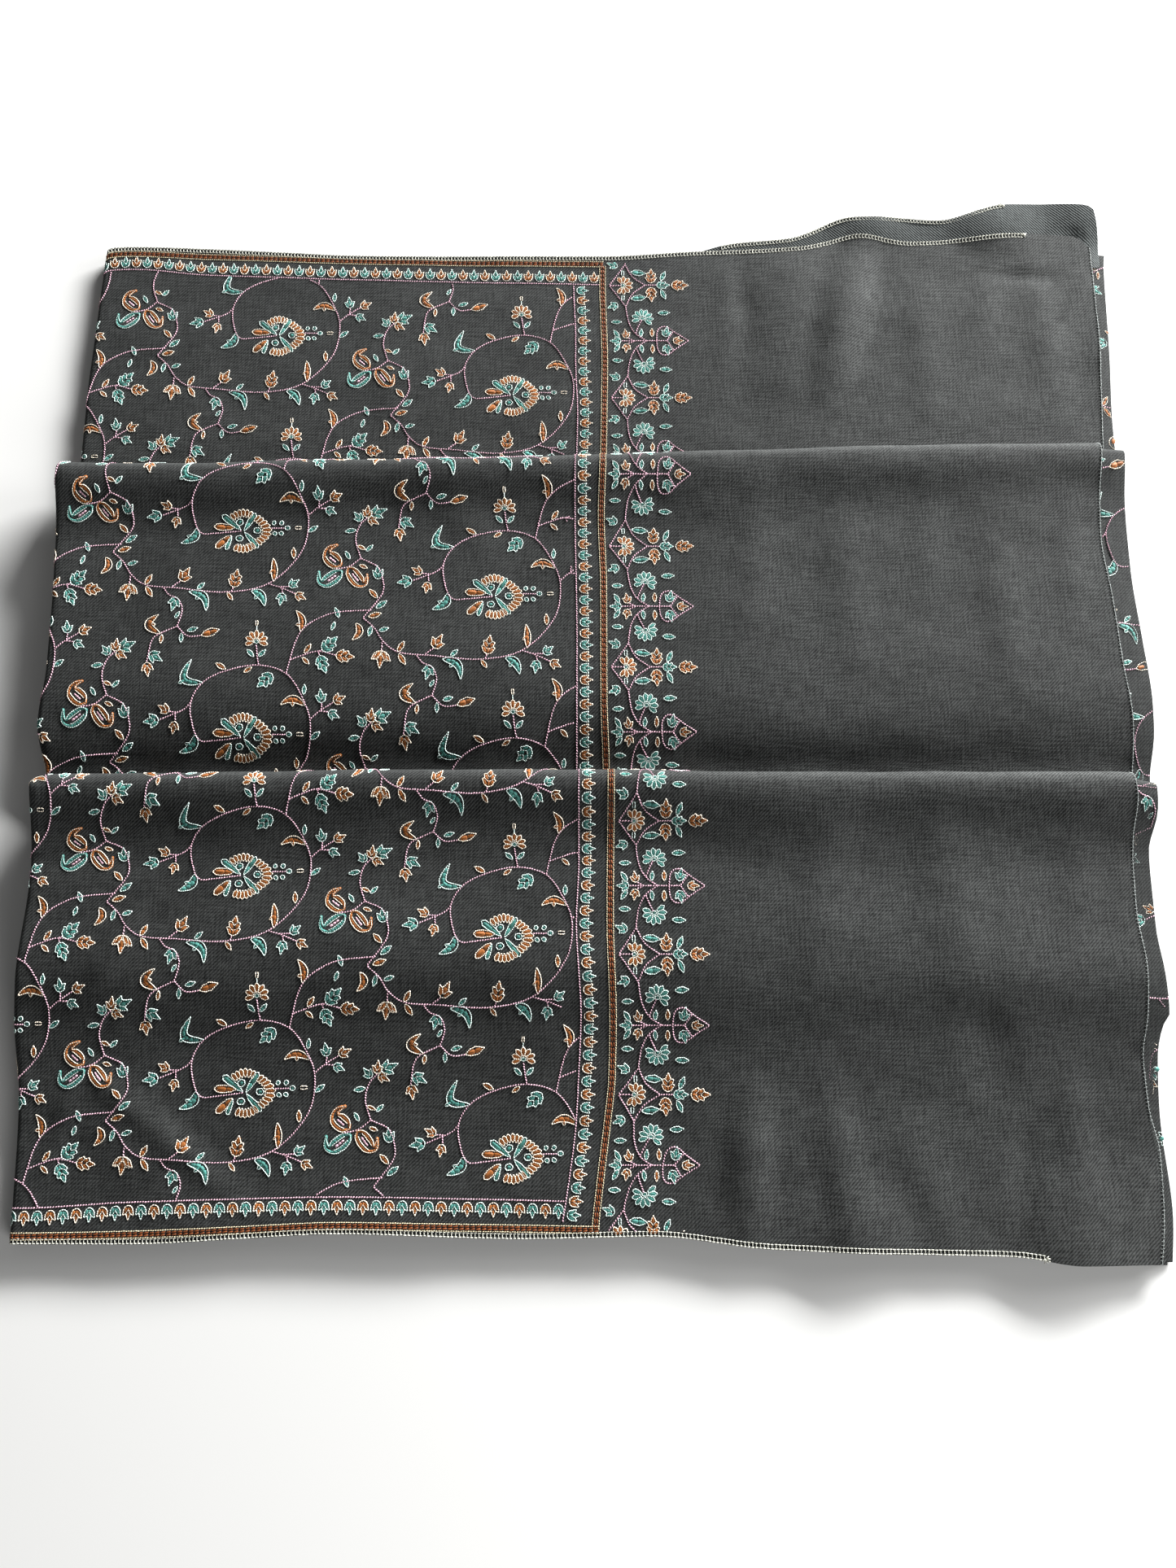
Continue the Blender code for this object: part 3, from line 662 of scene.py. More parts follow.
class Tier(NamedTuple):
    """One tier of the folded cloth, from the line where it starts at the front to its far edge or nose."""

    name: str
    far: tuple
    near: tuple
    near_drop: float
    heights: tuple
    left: tuple
    end: tuple
    fold: tuple
    layers: tuple

    def start(self, x):
        """Where the tier starts at the front."""
        return smooth(self.near, x) - self.near_drop

    def stop(self, x):
        """Where the tier's run ends: at the hem of the back tier, or where the turn round the nose begins."""
        return smooth(self.far, x) - (TURN_OUTER if self.heights else 0)

    def rows(self, step, turns):
        """Shares of the run a step apart, how far past it each row lies round the nose, and their places."""
        length = float(self.stop(0.0) - self.start(0.0))
        shares = np.linspace(0, 1, int(length / step) + 1)
        past = []
        if self.heights:
            past = [*(math.pi * np.arange(1, turns + 1) / turns * TURN_OUTER), HALF_TURN + RETURN_LENGTH]
        rows = np.concatenate([shares, np.ones(len(past))])
        return rows, np.concatenate([np.zeros(len(shares)), past]), self.start(0.0) + rows * length

    def underside(self, x, y):
        """Height of the underside of the stack above the floor."""
        if not self.heights:
            return 0 * (x + y)
        nose = smooth(self.far, x)
        height = smooth(self.heights, (nose - y) / (nose - smooth(self.near, x)))
        fade = np.clip((nose - y - TURN_OUTER) / SWELL_FADE, 0, 1)
        return height + mounds(SWELLS, x, y) * np.clip(height / SWELL_HEIGHT, 0, 1) * fade

    def place(self, x, c, height, depth=1.0, rolls=True):
        """Points of the cloth at x across and c up the tier, at a height in the stack.

        Past the left edge the cloth goes round a roll, and past the run it goes round the nose: both turns
        are arcs whose outer side is as long as the cloth.
        """
        x, c, height = (part.astype(float) for part in np.broadcast_arrays(x, c, height))
        if rolls:
            middle = smooth(self.left, np.minimum(c, self.stop(0.0))) + ROLL
            angle = np.maximum(middle - x, 0) / ROLL
            beyond = np.maximum(angle - math.pi, 0) * ROLL
            angle = np.minimum(angle, math.pi)
            radius = height - ROLL
            rolled = angle > 0
            x = np.where(rolled, middle - radius * np.sin(angle) + beyond, x)
            height = np.where(rolled, ROLL + radius * np.cos(angle), height)
        stop = self.stop(x)
        y = np.minimum(c, stop)
        rise = mounds(LIFTS, x, y) * np.clip((height - FOLDED_OVER) / LIFT_FADE, 0, 1)
        ease = np.clip((stop - y) / NOSE_EASE, 0, 1)
        base = self.underside(x, y)
        slope = (self.underside(x, y + 0.5) - self.underside(x, y - 0.5)) * ease
        normal = np.sqrt(1 + slope**2)
        height = height + creases(x, y, depth) * np.clip((height - SECOND_OVER) / CREASE_FADE, 0, 1)
        turn = np.clip((c - stop) / TURN_OUTER, 0, math.pi) * bool(self.heights)
        beyond = np.maximum(c - stop - HALF_TURN, 0) * bool(self.heights)
        around = TURN_INNER + height
        at_y = np.where(turn > 0, stop + around * np.sin(turn) - beyond, y - height * slope / normal)
        at_z = np.where(turn > 0, base - TURN_INNER + around * np.cos(turn), base + height / normal + rise)
        return np.stack([x, at_y, at_z], -1)

    def place_folded(self, x, c, height, up=0.0):
        """Points of the hidden layers, and stitches up from them. They sink by a squared sine to the fold."""
        placed = self.place(x, c, height + up, 0.0, rolls=False)
        fold = smooth(self.fold, np.minimum(c, self.stop(x)))
        share = np.clip((x - fold + FALL_REACH) / FALL_REACH, 0, 1)
        turned_over = height < FOLDED_OVER + 0.1
        placed[:, :, 2] -= FALL * np.sin(share * math.pi / 2) ** 2 * height / FOLDED_OVER * turned_over
        return placed


BACK = Tier("back", TOP_HEM, MIDDLE_NOSE, TUCK, (), BACK_LEFT, BACK_END, BACK_FOLD, BACK_LAYERS)
MIDDLE_SIDES = (MIDDLE_LEFT, MIDDLE_END, MIDDLE_FOLD, MIDDLE_LAYERS)
MIDDLE = Tier("middle", MIDDLE_NOSE, FRONT_NOSE, TUCK, MIDDLE_HEIGHT, *MIDDLE_SIDES)
FRONT_SIDES = (FRONT_LEFT, FRONT_END, FRONT_FOLD, FRONT_LAYERS)
FRONT = Tier("front", FRONT_NOSE, BOTTOM_HEM, 0.0, FRONT_HEIGHT, *FRONT_SIDES)
TIERS = (BACK, MIDDLE, FRONT)


def linear(hex_colour):
    """An sRGB hex colour as linear red, green, blue and alpha."""
    parts = [int(hex_colour[i : i + 2], 16) / 255 for i in (1, 3, 5)]
    return tuple(p / 12.92 if p <= 0.04045 else ((p + 0.055) / 1.055) ** 2.4 for p in parts) + (1.0,)


def add_node(tree, kind, values=(), links=(), **settings):
    """One shader node with its settings, its inputs' values, and the nodes or sockets that feed them."""
    node = tree.nodes.new("ShaderNode" + kind)
    for name, value in settings.items():
        setattr(node, name, value)
    for key, value in dict(values).items():
        node.inputs[key].default_value = value
    for key, source in dict(links).items():
        tree.links.new(getattr(source, "outputs", [source])[0], node.inputs[key])
    return node


def new_material(name, values):
    """A material with the values of its shader's inputs."""
    material = bpy.data.materials.new(name)
    material.use_nodes = True
    shader = material.node_tree.nodes["Principled BSDF"]
    for key, value in values.items():
        shader.inputs[key].default_value = value
    return material, material.node_tree, shader


def twill_material(name, dark, light, slant=1.0):
    """Fine goat-down twill: matt, faintly hairy, with diagonal ribs.

    To the eye it is a soft charcoal with lighter rib tops, thicker and thinner threads, and a pale bloom
    where the light grazes it. The real ribs are 1.0 mm apart and are drawn at 1.1 mm; the threads are drawn
    about 1 mm thick, three times as coarse as the real yarn, so that they show. Left of 30 mm, among the
    stitches, the colour is a fifth darker as painted shade, as if the stitches shaded the cloth between them,
    and it clears up to 70 mm.
    """
    sheen = {"Sheen Weight": 0.06, "Sheen Roughness": 0.45, "Sheen Tint": linear("#c9d2d2")}
    values = {"Roughness": 0.88, "IOR": 1.5, "Specular IOR Level": 0.25, **sheen}
    material, tree, shader = new_material(name, values)
    uv = add_node(tree, "UVMap", uv_map="cloth")
    axes = add_node(tree, "SeparateXYZ", links={0: uv})
    across, up = axes.outputs[0], axes.outputs[1]
    yarns = []
    for scale in ((110.0, 1000.0, 1.0), (1000.0, 110.0, 1.0)):
        drawn_out = add_node(tree, "Mapping", {"Scale": scale}, {"Vector": uv})
        yarns.append(add_node(tree, "TexNoise", {"Scale": 1.0, "Detail": 2.0}, {"Vector": drawn_out}))
    threads = add_node(tree, "Math", {}, {0: yarns[0], 1: yarns[1]}, operation="ADD")
    wobble = add_node(tree, "TexNoise", {"Scale": 90.0, "Detail": 3.0}, {"Vector": uv})
    slanted = add_node(tree, "Math", {1: -slant}, {0: up}, operation="MULTIPLY")
    diagonal = add_node(tree, "Math", {}, {0: across, 1: slanted}, operation="ADD")
    shifted = add_node(tree, "Math", {1: RIB * MM}, {0: wobble, 2: diagonal}, operation="MULTIPLY_ADD")
    turns = 2 * math.pi / (RIB * MM * math.sqrt(2))
    phase = add_node(tree, "Math", {1: turns}, {0: shifted}, operation="MULTIPLY")
    wave = add_node(tree, "Math", {}, {0: phase}, operation="SINE")
    ribs = add_node(tree, "MapRange", {"From Min": -1.0}, {"Value": wave})
    mixed = add_node(tree, "Math", {1: 0.85}, {0: ribs, 2: threads}, operation="MULTIPLY_ADD")
    tone = add_node(tree, "MapRange", {"From Min": 0.85, "From Max": 2.08}, {"Value": mixed})
    ground = add_node(tree, "Mix", {6: dark, 7: light}, {0: tone}, data_type="RGBA")
    broad = add_node(tree, "TexNoise", {"Scale": 14.0, "Detail": 2.0}, {"Vector": uv})
    cloudy = {"From Min": 0.3, "From Max": 0.7, "To Min": 0.9, "To Max": 1.1}
    clouds = add_node(tree, "MapRange", cloudy, {"Value": broad})
    # Painted shade: the colour is a fifth darker left of 30 mm across, among the stitches, and clears up to
    # 70 mm.
    stitch_shade_span = {"From Min": 0.03, "From Max": 0.07, "To Min": 0.8}
    shaded = add_node(tree, "MapRange", stitch_shade_span, {"Value": across})
    strength = add_node(tree, "Math", {}, {0: clouds, 1: shaded}, operation="MULTIPLY")
    colour = add_node(tree, "VectorMath", {}, {0: ground.outputs[2], 1: strength}, operation="MULTIPLY")
    bump = add_node(tree, "Bump", {"Strength": 0.5, "Distance": 0.0003}, {"Height": mixed})
    tree.links.new(colour.outputs[0], shader.inputs["Base Color"])
    tree.links.new(bump.outputs[0], shader.inputs["Normal"])
    return material


def thread_material(name, colour):
    """Loosely plied embroidery thread: a soft satin gloss, and stitches up to a fifth lighter or darker."""
    values = {"Roughness": 0.62, "IOR": 1.5, "Specular IOR Level": 0.3, "Sheen Weight": 0.04}
    material, tree, shader = new_material(name, values)
    shade = add_node(tree, "Attribute", attribute_name="shade")
    darker, lighter = (tuple(part * share for part in colour[:3]) + (1.0,) for share in (0.8, 1.2))
    tinted = add_node(tree, "Mix", {6: darker, 7: lighter}, {0: shade.outputs["Fac"]}, data_type="RGBA")
    tree.links.new(tinted.outputs[2], shader.inputs["Base Color"])
    return material


def new_piece(name, points, faces, material, uv=None, shade=None, sharp=None):
    """A piece from arrays of points in millimetres and faces with one number of corners each."""
    corners = faces.shape[1]
    mesh = bpy.data.meshes.new(name)
    mesh.vertices.add(len(points))
    mesh.vertices.foreach_set("co", (points * MM).astype(np.float32).ravel())
    mesh.loops.add(faces.size)
    mesh.loops.foreach_set("vertex_index", faces.astype(np.int32).ravel())
    mesh.polygons.add(len(faces))
    mesh.polygons.foreach_set("loop_start", np.arange(0, faces.size, corners, dtype=np.int32))
    mesh.polygons.foreach_set("use_smooth", np.ones(len(faces), bool))
    if uv is not None:
        layer = mesh.uv_layers.new(name="cloth")
        layer.data.foreach_set("uv", (uv[faces.ravel()] * MM).astype(np.float32).ravel())
    if shade is not None:
        attribute = mesh.attributes.new("shade", "FLOAT", "POINT")
        attribute.data.foreach_set("value", shade.astype(np.float32))
    mesh.update(calc_edges=True)
    mesh.validate()
    if sharp:
        mesh.set_sharp_from_angle(angle=math.radians(sharp))
    mesh.materials.append(material)
    piece = bpy.data.objects.new(name, mesh)
    bpy.context.scene.collection.objects.link(piece)
    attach(piece, "root")
    return piece


def quads_of(numbers):
    """The squares between the neighbours in a grid of point numbers."""
    corners = numbers[:-1, :-1], numbers[:-1, 1:], numbers[1:, 1:], numbers[1:, :-1]
    return np.stack(corners, -1).reshape(-1, 4)


def shell_piece(name, outer, inner, flat, material, slot):
    """A thin closed shell between two grids of points, with a rim round their edges."""
    count = outer.shape[0] * outer.shape[1]
    numbers = np.arange(count).reshape(outer.shape[:2])
    quads = quads_of(numbers)
    rim = np.concatenate([numbers[0, :-1], numbers[:-1, -1], numbers[-1, :0:-1], numbers[:0:-1, 0]])
    after = np.roll(rim, -1)
    sides = np.stack([rim, rim + count, after + count, after], -1)
    faces = np.concatenate([quads, quads[:, ::-1] + count, sides])
    points = np.concatenate([outer.reshape(-1, 3), inner.reshape(-1, 3)])
    uv = np.concatenate([flat.reshape(-1, 2)] * 2)
    return new_piece(name, points, faces, material, uv=uv, sharp=60)


def block_piece(name, lattice, flat, material):
    """A closed body from a block of points, given as rows, layers and points across: its six sides joined."""
    shape = lattice.shape[:3]
    numbers = np.arange(int(np.prod(shape))).reshape(shape)
    sides = []
    for axis in range(3):
        for end in (0, -1):
            quads = quads_of(np.take(numbers, end, axis=axis))[:, [0, 3, 2, 1]]
            sides.append(quads if (end == 0) != (axis == 1) else quads[:, ::-1])
    used, index = np.unique(np.concatenate(sides), return_inverse=True)
    faces = index.reshape(-1, 4)
    points = lattice.reshape(-1, 3)[used]
    corners = points[faces]
    volume = np.linalg.det(corners[:, :3]).sum() + np.linalg.det(corners[:, [0, 2, 3]]).sum()
    if volume < 0:
        faces = faces[:, ::-1]
    return new_piece(name, points, faces, material, uv=flat.reshape(-1, 2)[used], sharp=50)


def top_layer(tier, depth):
    """A tier's uppermost layer: columns from the roll's tip to the cloth's end, rows up and round a nose."""
    rows, past, at = tier.rows(GRID, TURN_ROWS)
    first = smooth(tier.left, at) + ROLL
    tip = first - math.pi * ROLL - ROLL_TIP
    rolled = between(tip, first, ROLL_SPREAD)
    x = np.hstack([rolled, between(first, smooth(tier.end, at), TOP_SPREAD)])
    start = tier.start(x)
    c = start + (tier.stop(x) - start) * rows[:, None] + past[:, None]
    outer = tier.place(x, c, TOP_OVER, depth)
    inner = tier.place(x, c, TOP_OVER - SHELL, depth)
    return outer, inner, np.stack([x, c], -1)


def layer_profile(bottom, top):
    """A layer's rounded side: heights from bottom to top, and how far each stands in from the edge."""
    radius = (top - bottom) / 2
    angles = np.linspace(-math.pi / 2, math.pi / 2, 5)
    return [(bottom + radius + radius * math.sin(angle), radius * (1 - math.cos(angle))) for angle in angles]


def stack_lattice(tier):
    """The hidden layers of a tier as one body, each layer's sides rounded, turning round the nose."""
    rows, past, at = tier.rows(STACK_GRID, STACK_TURN_ROWS)
    points, flats = [], []
    for bottom, top, right, left, hem, line in tier.layers:
        for height, inset in layer_profile(bottom, top):
            ends = smooth(getattr(tier, line), at) - right - inset
            x = between(smooth(tier.left, at) + left, ends, STACK_SPREAD)
            near = tier.start(x) + (hem + inset) * (tier is not MIDDLE)
            far = tier.stop(x) - (HEM_INSET + inset) * (tier is BACK)
            c = near + (far - near) * rows[:, None] + past[:, None]
            points.append(tier.place_folded(x, c, height))
            flats.append(np.stack([x, c], -1))
    return np.stack(points, 1), np.stack(flats, 1)


def pleat_near(tier, x):
    """Where the hidden pleat under a tier starts at the front."""
    start = tier.start(x)
    if tier is MIDDLE:
        return start
    nose = smooth(tier.far, x)
    return nose + (start - nose) * FRONT_PLEAT_END


def pleat_lattice(tier):
    """The hidden pleat under a tier: four layers from the floor up to the tier, rounded at their sides."""
    first = float(pleat_near(tier, 0.0))
    at = first + (float(smooth(tier.far, 0.0)) - PLEAT_SETBACK - first) * PLEAT_ROWS
    points, flats = [], []
    for layer, (right, left) in enumerate(PLEAT_INSETS):
        for level, inset in layer_profile(layer / 4, (layer + 1) / 4):
            bulge = inset * PLEAT_BULGE
            ends = smooth(tier.fold, at) - right - bulge
            x = between(smooth(tier.left, at) + left + bulge, ends, PLEAT_SPREAD)
            near = pleat_near(tier, x) + PLEAT_INSET + bulge
            far = smooth(tier.far, x) - PLEAT_SETBACK - bulge
            y = near + (far - near) * PLEAT_ROWS[:, None]
            points.append(np.stack([x, y, level * (tier.underside(x, y) - PLEAT_GAP)], -1))
            flats.append(np.stack([x, y], -1))
    return np.stack(points, 1), np.stack(flats, 1)


def second_height(x, y):
    """Height of the second layer's outer side where it lies plain."""
    return SECOND_OVER + SECOND_LIFT * mounds(LIFTS, x, y)


def second_layer():
    """The cloth's other end, face down under the first, whose hem shows behind it.

    To its plain height come the curl of its far corner and sine waves 0.25 mm high and 44 mm long, both only
    where it shows past the first, and the fall to its end.
    """
    rows = np.linspace(0, 1, SECOND_ROWS)
    near = float(smooth(MIDDLE_NOSE, 0.0)) - TUCK
    at = near + (SECOND_FAR - near) * rows
    x = between(smooth(BACK_LEFT, at) + SECOND_INSET, smooth(SECOND_END, at), TOP_SPREAD)
    start = smooth(MIDDLE_NOSE, x) - TUCK
    y = start + (smooth(SECOND_HEM, x) - start) * rows[:, None]
    shown = np.clip((y - smooth(TOP_HEM, x) - 1.5) / 4, 0, 1)
    curl = mounds(SECOND_CURL, x, y) * shown
    wave = 0.25 * np.sin(x / 7.0 + 1.0) * shown * mounds(SECOND_WAVES, x, y)
    outer = np.stack([x, y, second_height(x, y) + curl + wave + mounds(SECOND_FALL, x, y)], -1)
    return outer, outer - np.array([0, 0, SHELL]), np.stack([x, y], -1)


class Stitches:
    """Stitches by thread, drawn on the flat cloth.

    Columns of each row: x and y of both ends, width, height, then x and y of the middle of what the stitch
    belongs to, and how far that has to stay clear of the trellis's edge.
    """

    def __init__(self):
        self.rows = {}
        self.whole = None

    def lay(self, thread, starts, ends, width, height):
        """Single stitches from starts to ends, as parts of the whole motif or each for itself."""
        starts, ends = np.atleast_2d(starts).astype(float), np.atleast_2d(ends).astype(float)
        count = len(starts)
        owner = np.hstack([(starts + ends) / 2, np.full((count, 1), LINE_CLEAR)])
        if self.whole is not None:
            owner = np.tile(self.whole, (count, 1))
        sizes = np.tile([width, height], (count, 1))
        self.rows.setdefault(thread, []).append(np.hstack([starts, ends, sizes, owner]))

    def line(self, thread, points, sewn, overlap=0.12, slant=0.0):
        """Even stitches along a line of points, each a little longer than its share and slanted across it."""
        step, width, height = sewn
        points = np.asarray(points, float)
        length = run(points)[-1]
        places = along(points, np.linspace(0, length, max(1, int(round(length / step))) + 1))
        ahead = np.diff(places, axis=0)
        extra = ahead * overlap + aside(ahead) * slant
        self.lay(thread, places[:-1] - extra, places[1:] + extra, width, height)

    def stem(self, points, sewn=STEM, slant=0.19):
        """A vine or a fine line: pink stitches that stand a little apart and aslant, like a twisted cord."""
        self.line("pink", points, sewn, overlap=-0.08, slant=slant)

    def cornered(self, thread, points, sewn):
        """A line whose stitches start afresh at every point."""
        for first, last in zip(points[:-1], points[1:]):
            self.line(thread, (first, last), sewn, overlap=0.06)

    def motif(self, shape, colour, x, y, length, turn):
        """A shape's filling, outline and veins, turned about its base and scaled to its length."""
        outline, fills, veins = SHAPES[shape]
        light, dark = PAIRS[colour]
        axes = np.array([turned(1, 0, turn), turned(0, 1, turn)])

        def put(points, side):
            return np.asarray(points, float) * length * (1, side) @ axes + (x, y)

        outer = self.whole
        if outer is None:
            self.whole = (*put((0.5, 0), 1), 0.5 + length)
        for side in (1, -1):
            for u0, v0, u1, v1, width in fills:
                if side == 1 or v0 or v1:
                    ends = put(((u0, v0), (u1, v1)), side)
                    self.lay(dark, ends[:1], ends[1:], width * length * FULLNESS, FILL_HEIGHT)
            self.cornered(light, put(outline, side), OUTLINE)
            for vein in veins:
                self.cornered(light, put(vein, side), VEIN)
        self.whole = outer

    def flower(self, colour, x, y, width, angles):
        """Petals 0.42 of the width long round a teal heart, at the angles given in degrees."""
        for angle in angles:
            out_x, out_y = turned(0.12 * width, 0, angle)
            self.motif("petal", colour, x + out_x, y + out_y, 0.42 * width, angle)
        self.motif("seed", "teal", x - 0.1 * width, y, 0.2 * width, 0)

    def horn(self, colour, base_x, base_y, bend_x, bend_y, tip_x, tip_y, width, barb):
        """A horn leaf along a conic that keeps close to its bend, with a barb 1.7 mm high.

        Its half width at a share t of its length is that of a sine of t to the power 0.85, to the power 0.6.
        """
        base, bend, tip = np.array([(base_x, base_y), (bend_x, bend_y), (tip_x, tip_y)], float)
        t = np.linspace(0, 1, 15)[:, None]
        shares = np.hstack([(1 - t) ** 2, 3.2 * t * (1 - t), t * t])
        points = shares @ np.array([base, bend, tip]) / shares.sum(1)[:, None]
        half = width / 2 * np.sin(math.pi * t[:, 0] ** 0.85) ** 0.6
        light, dark = PAIRS[colour]
        self.whole = (*points.mean(0), 4.0)
        for side in (1, -1):
            self.line(light, beside(points, half * side), OUTLINE)
        self.line(dark, points[1:-1], (2.2, max(half.max() * 1.2, 0.5), 0.24))
        if barb:
            near = points[int(abs(barb) * 14)]
            ahead = (tip - base) / np.hypot(*(tip - base))
            away = ((base + tip) / 2 - bend) * math.copysign(1, barb)
            away = away / max(np.hypot(*away), 0.1)
            point = near + away * (width / 2 + 1.7)
            self.lay(dark, near, point - away * 0.4, *BARB_FILL)
            for side in (0.9, -0.9):
                self.lay(light, near + away * width / 2 + side * ahead, point, *BARB_SIDE)
        self.whole = None

    def paisley(self, colour, foot_x, foot_y, bend_x, bend_y, tip_x, tip_y, width):
        """A curled drop along a cubic: outline, band, inner outline and pink heart.

        The band runs at 0.72 of its half width, and the inner outline at 0.42 of it in the drop's round part.
        """
        foot, bend, tip = np.array([(foot_x, foot_y), (bend_x, bend_y), (tip_x, tip_y)], float)
        first, second = foot + (bend - foot) * 0.7, bend + (bend - foot) * 0.2
        t = np.linspace(0, 1, 23)[:, None]
        left = 1 - t
        points = left**3 * foot + 3 * t * left**2 * first + 3 * t * t * left * second + t**3 * tip
        fat = smooth(PAISLEY_WIDTHS, t[:, 0]) * width / 2
        light, dark = PAIRS[colour]
        self.whole = (*points.mean(0), 5.0)
        for side in (1, -1):
            self.line(light, beside(points, fat * side), OUTLINE)
            self.line(dark, beside(points, fat * side * 0.72), PAISLEY_BAND, overlap=0.3)
            self.line(light, beside(points, fat * side * 0.42)[2:11], PAISLEY_INNER)
        self.line("pink", points[3:9], PAISLEY_HEART)
        self.whole = None

    def medallion(self):
        """The large flower: petals on an oval, four teal blades, two long petals and three seeds.

        The petals reach from 0.62 of the oval to its edge.
        """
        self.whole = (0, 0, 9.0)
        for first, last, count in MEDALLION_FANS:
            for angle in np.linspace(first, last, count):
                reach = float(smooth(MEDALLION_OVAL, angle))
                inner = reach * 0.62
                self.motif("petal", "orange", *turned(inner, 0, angle), reach - inner, angle)
        for row in MEDALLION:
            self.motif(*row)
        self.whole = None

    def add(self, other, matrix=np.eye(2), origin=(0.0, 0.0), keep=None, shift=None):
        """Takes over another set of stitches, moved, without those that keep refuses.

        It is asked with the middles of the stitches and of what they belong to, and how far that stays clear.
        """
        for thread, parts in other.rows.items():
            rows = np.concatenate(parts)
            for first in (0, 2, 6):
                rows[:, first : first + 2] = rows[:, first : first + 2] @ np.asarray(matrix).T + origin
            if shift is not None:
                rows[:, [0, 2, 6]] += shift(rows[:, 7])[:, None]
            if keep is not None:
                middle = (rows[:, 0:2] + rows[:, 2:4]) / 2
                rows = rows[keep(*middle.T, *rows[:, 6:9].T)]
            if len(rows):
                self.rows.setdefault(thread, []).append(rows)


def trellis_cell():
    """The stitches of one repeat of the trellis, about its medallion."""
    cell = Stitches()
    for vine in VINES:
        cell.stem(curve(vine), VINE, 0.2)
    for row in MOTIFS:
        cell.motif(*row)
    for row in HORNS:
        cell.horn(*row)
    for row in PAISLEYS:
        cell.paisley(*row)
    cell.whole = (4.9, 42.0, 5.0)
    cell.flower("orange", 4.9, 40.6, 9.6, (-14, 21, 55, 90, 125, 159, 194))
    cell.line("mint", ((4.9, 45.6), (4.9, 47.6)), (1.0, 0.4, 0.34))
    cell.motif("ring", "ecru", 4.9, 47.8, 2.2, 90)
    cell.whole = None
    cell.medallion()
    return cell


def band_x(tier, y, column=1):
    """Where the rust band runs on a tier, or the pink line inside it, which is column 2."""
    return smooth(BANDS[tier.name], y, column)


def inside_trellis(tier, x, y, owner_x, owner_y, clear):
    """Whether a stitch of the trellis is kept: its motif is inside the pink line, and it is on this tier."""
    kept = (owner_x < band_x(tier, owner_y, 2) - clear) & (x < band_x(tier, y, 2) - LINE_CLEAR)
    kept &= (y > tier.start(x)) & (x > smooth(tier.left, y) - ROLL_SHOWN)
    if tier is BACK:
        kept &= owner_y < smooth(TOP_LINES, owner_x, 2) - clear
        kept &= y < smooth(TOP_LINES, x, 2) - LINE_CLEAR
    else:
        kept &= y < tier.stop(x) + HALF_TURN
    if tier is FRONT:
        kept &= owner_y > smooth(BOTTOM_LINES, owner_x, 2) + clear
        kept &= y > smooth(BOTTOM_LINES, x, 2) + LINE_CLEAR
    return kept


def on_strip(tier, x, y, *owner):
    """Whether a stitch lies on the strip of the turned-over layer that shows past the uppermost one."""
    row = np.clip(y, tier.start(STRIP_X) + TUCK / 2, tier.stop(STRIP_X) + 5)
    return (y == row) & (x > smooth(tier.end, y) + 0.6) & (x < smooth(tier.fold, y) - 0.5)


def trellis(tier, cell, first, rows, columns, keep):
    """The trellis on a tier: its repeats from a first medallion, with the stitches that are kept.

    A matrix takes the repeat's own two steps to the tier's.
    """
    stitches = Stitches()
    down, across = (np.array(step) for step in LATTICES[tier.name][1:])
    matrix = np.array([down, across]).T @ np.linalg.inv(np.array([CELL_DOWN, CELL_ACROSS]).T)
    for row in rows:
        for column in columns:
            stitches.add(cell, matrix, np.array(first) + row * down + column * across, partial(keep, tier))
    return stitches


def tier_span(tier):
    """How far up the flat cloth the vertical lines run on a tier."""
    low = float(smooth(BOTTOM_LINES, 0.0)) if tier is FRONT else float(tier.start(0.0))
    high = float(smooth(TOP_LINES, 0.0)) if tier is BACK else float(tier.stop(0.0)) + HALF_TURN
    return low, high


def lay_band(stitches, line, out):
    """Two rust lines side by side between two cream ones, set off from a line along a direction."""
    for offset, thread, *sewn in BAND_THREADS:
        stitches.line(thread, line + np.array(out) * offset, sewn, overlap=0.0, slant=0.1)


def lay_buds(stitches, line, turn, gap):
    """Buds at even steps along a line, teal and orange in turn, pointing away from it."""
    length = run(line)[-1]
    count = int(length / BUD_STEP)
    feet = along(line, (np.arange(count) + 0.5) * length / count) + turned(gap, 0, turn)
    for number, (x, y) in enumerate(feet):
        stitches.motif("tulip", ("teal", "orange")[number % 2], x, y, BUD_LENGTH, turn)


def band_lines(tier):
    """The rust double band with its cream edges, the pink line, and the row of buds between them."""
    stitches = Stitches()
    low, high = tier_span(tier)
    y = np.arange(low, high, 1.0)
    pink_low = float(smooth(BOTTOM_LINES, -16.0)) + 2 if tier is FRONT else low
    pink_high = float(smooth(TOP_LINES, -11.0, 2)) if tier is BACK else high
    pink = np.stack([band_x(tier, y, 2), y], -1)[(y > pink_low) & (y < pink_high)]
    stitches.stem(pink)
    lay_band(stitches, np.stack([band_x(tier, y), y], -1), (1, 0))
    lay_buds(stitches, pink, 0, 1.4)
    if tier is MIDDLE:
        return stitches
    table, left, corner, turn = TOP_LINES, -243.5, high, 90
    if tier is FRONT:
        table, left, corner, turn = BOTTOM_LINES, -244.5, low, -90
    x = np.arange(left, float(band_x(tier, corner)) + 1.5, 1.0)
    lay_band(stitches, np.stack([x, smooth(table, x)], -1), (0, 1))
    ends = band_x(tier, high) - 1 if tier is BACK else band_x(tier, smooth(table, x, 2), 2) + 0.3
    x = x[x < ends]
    pink = np.stack([x, smooth(table, x, 2)], -1)
    stitches.stem(pink)
    lay_buds(stitches, pink, turn, 1.2)
    return stitches


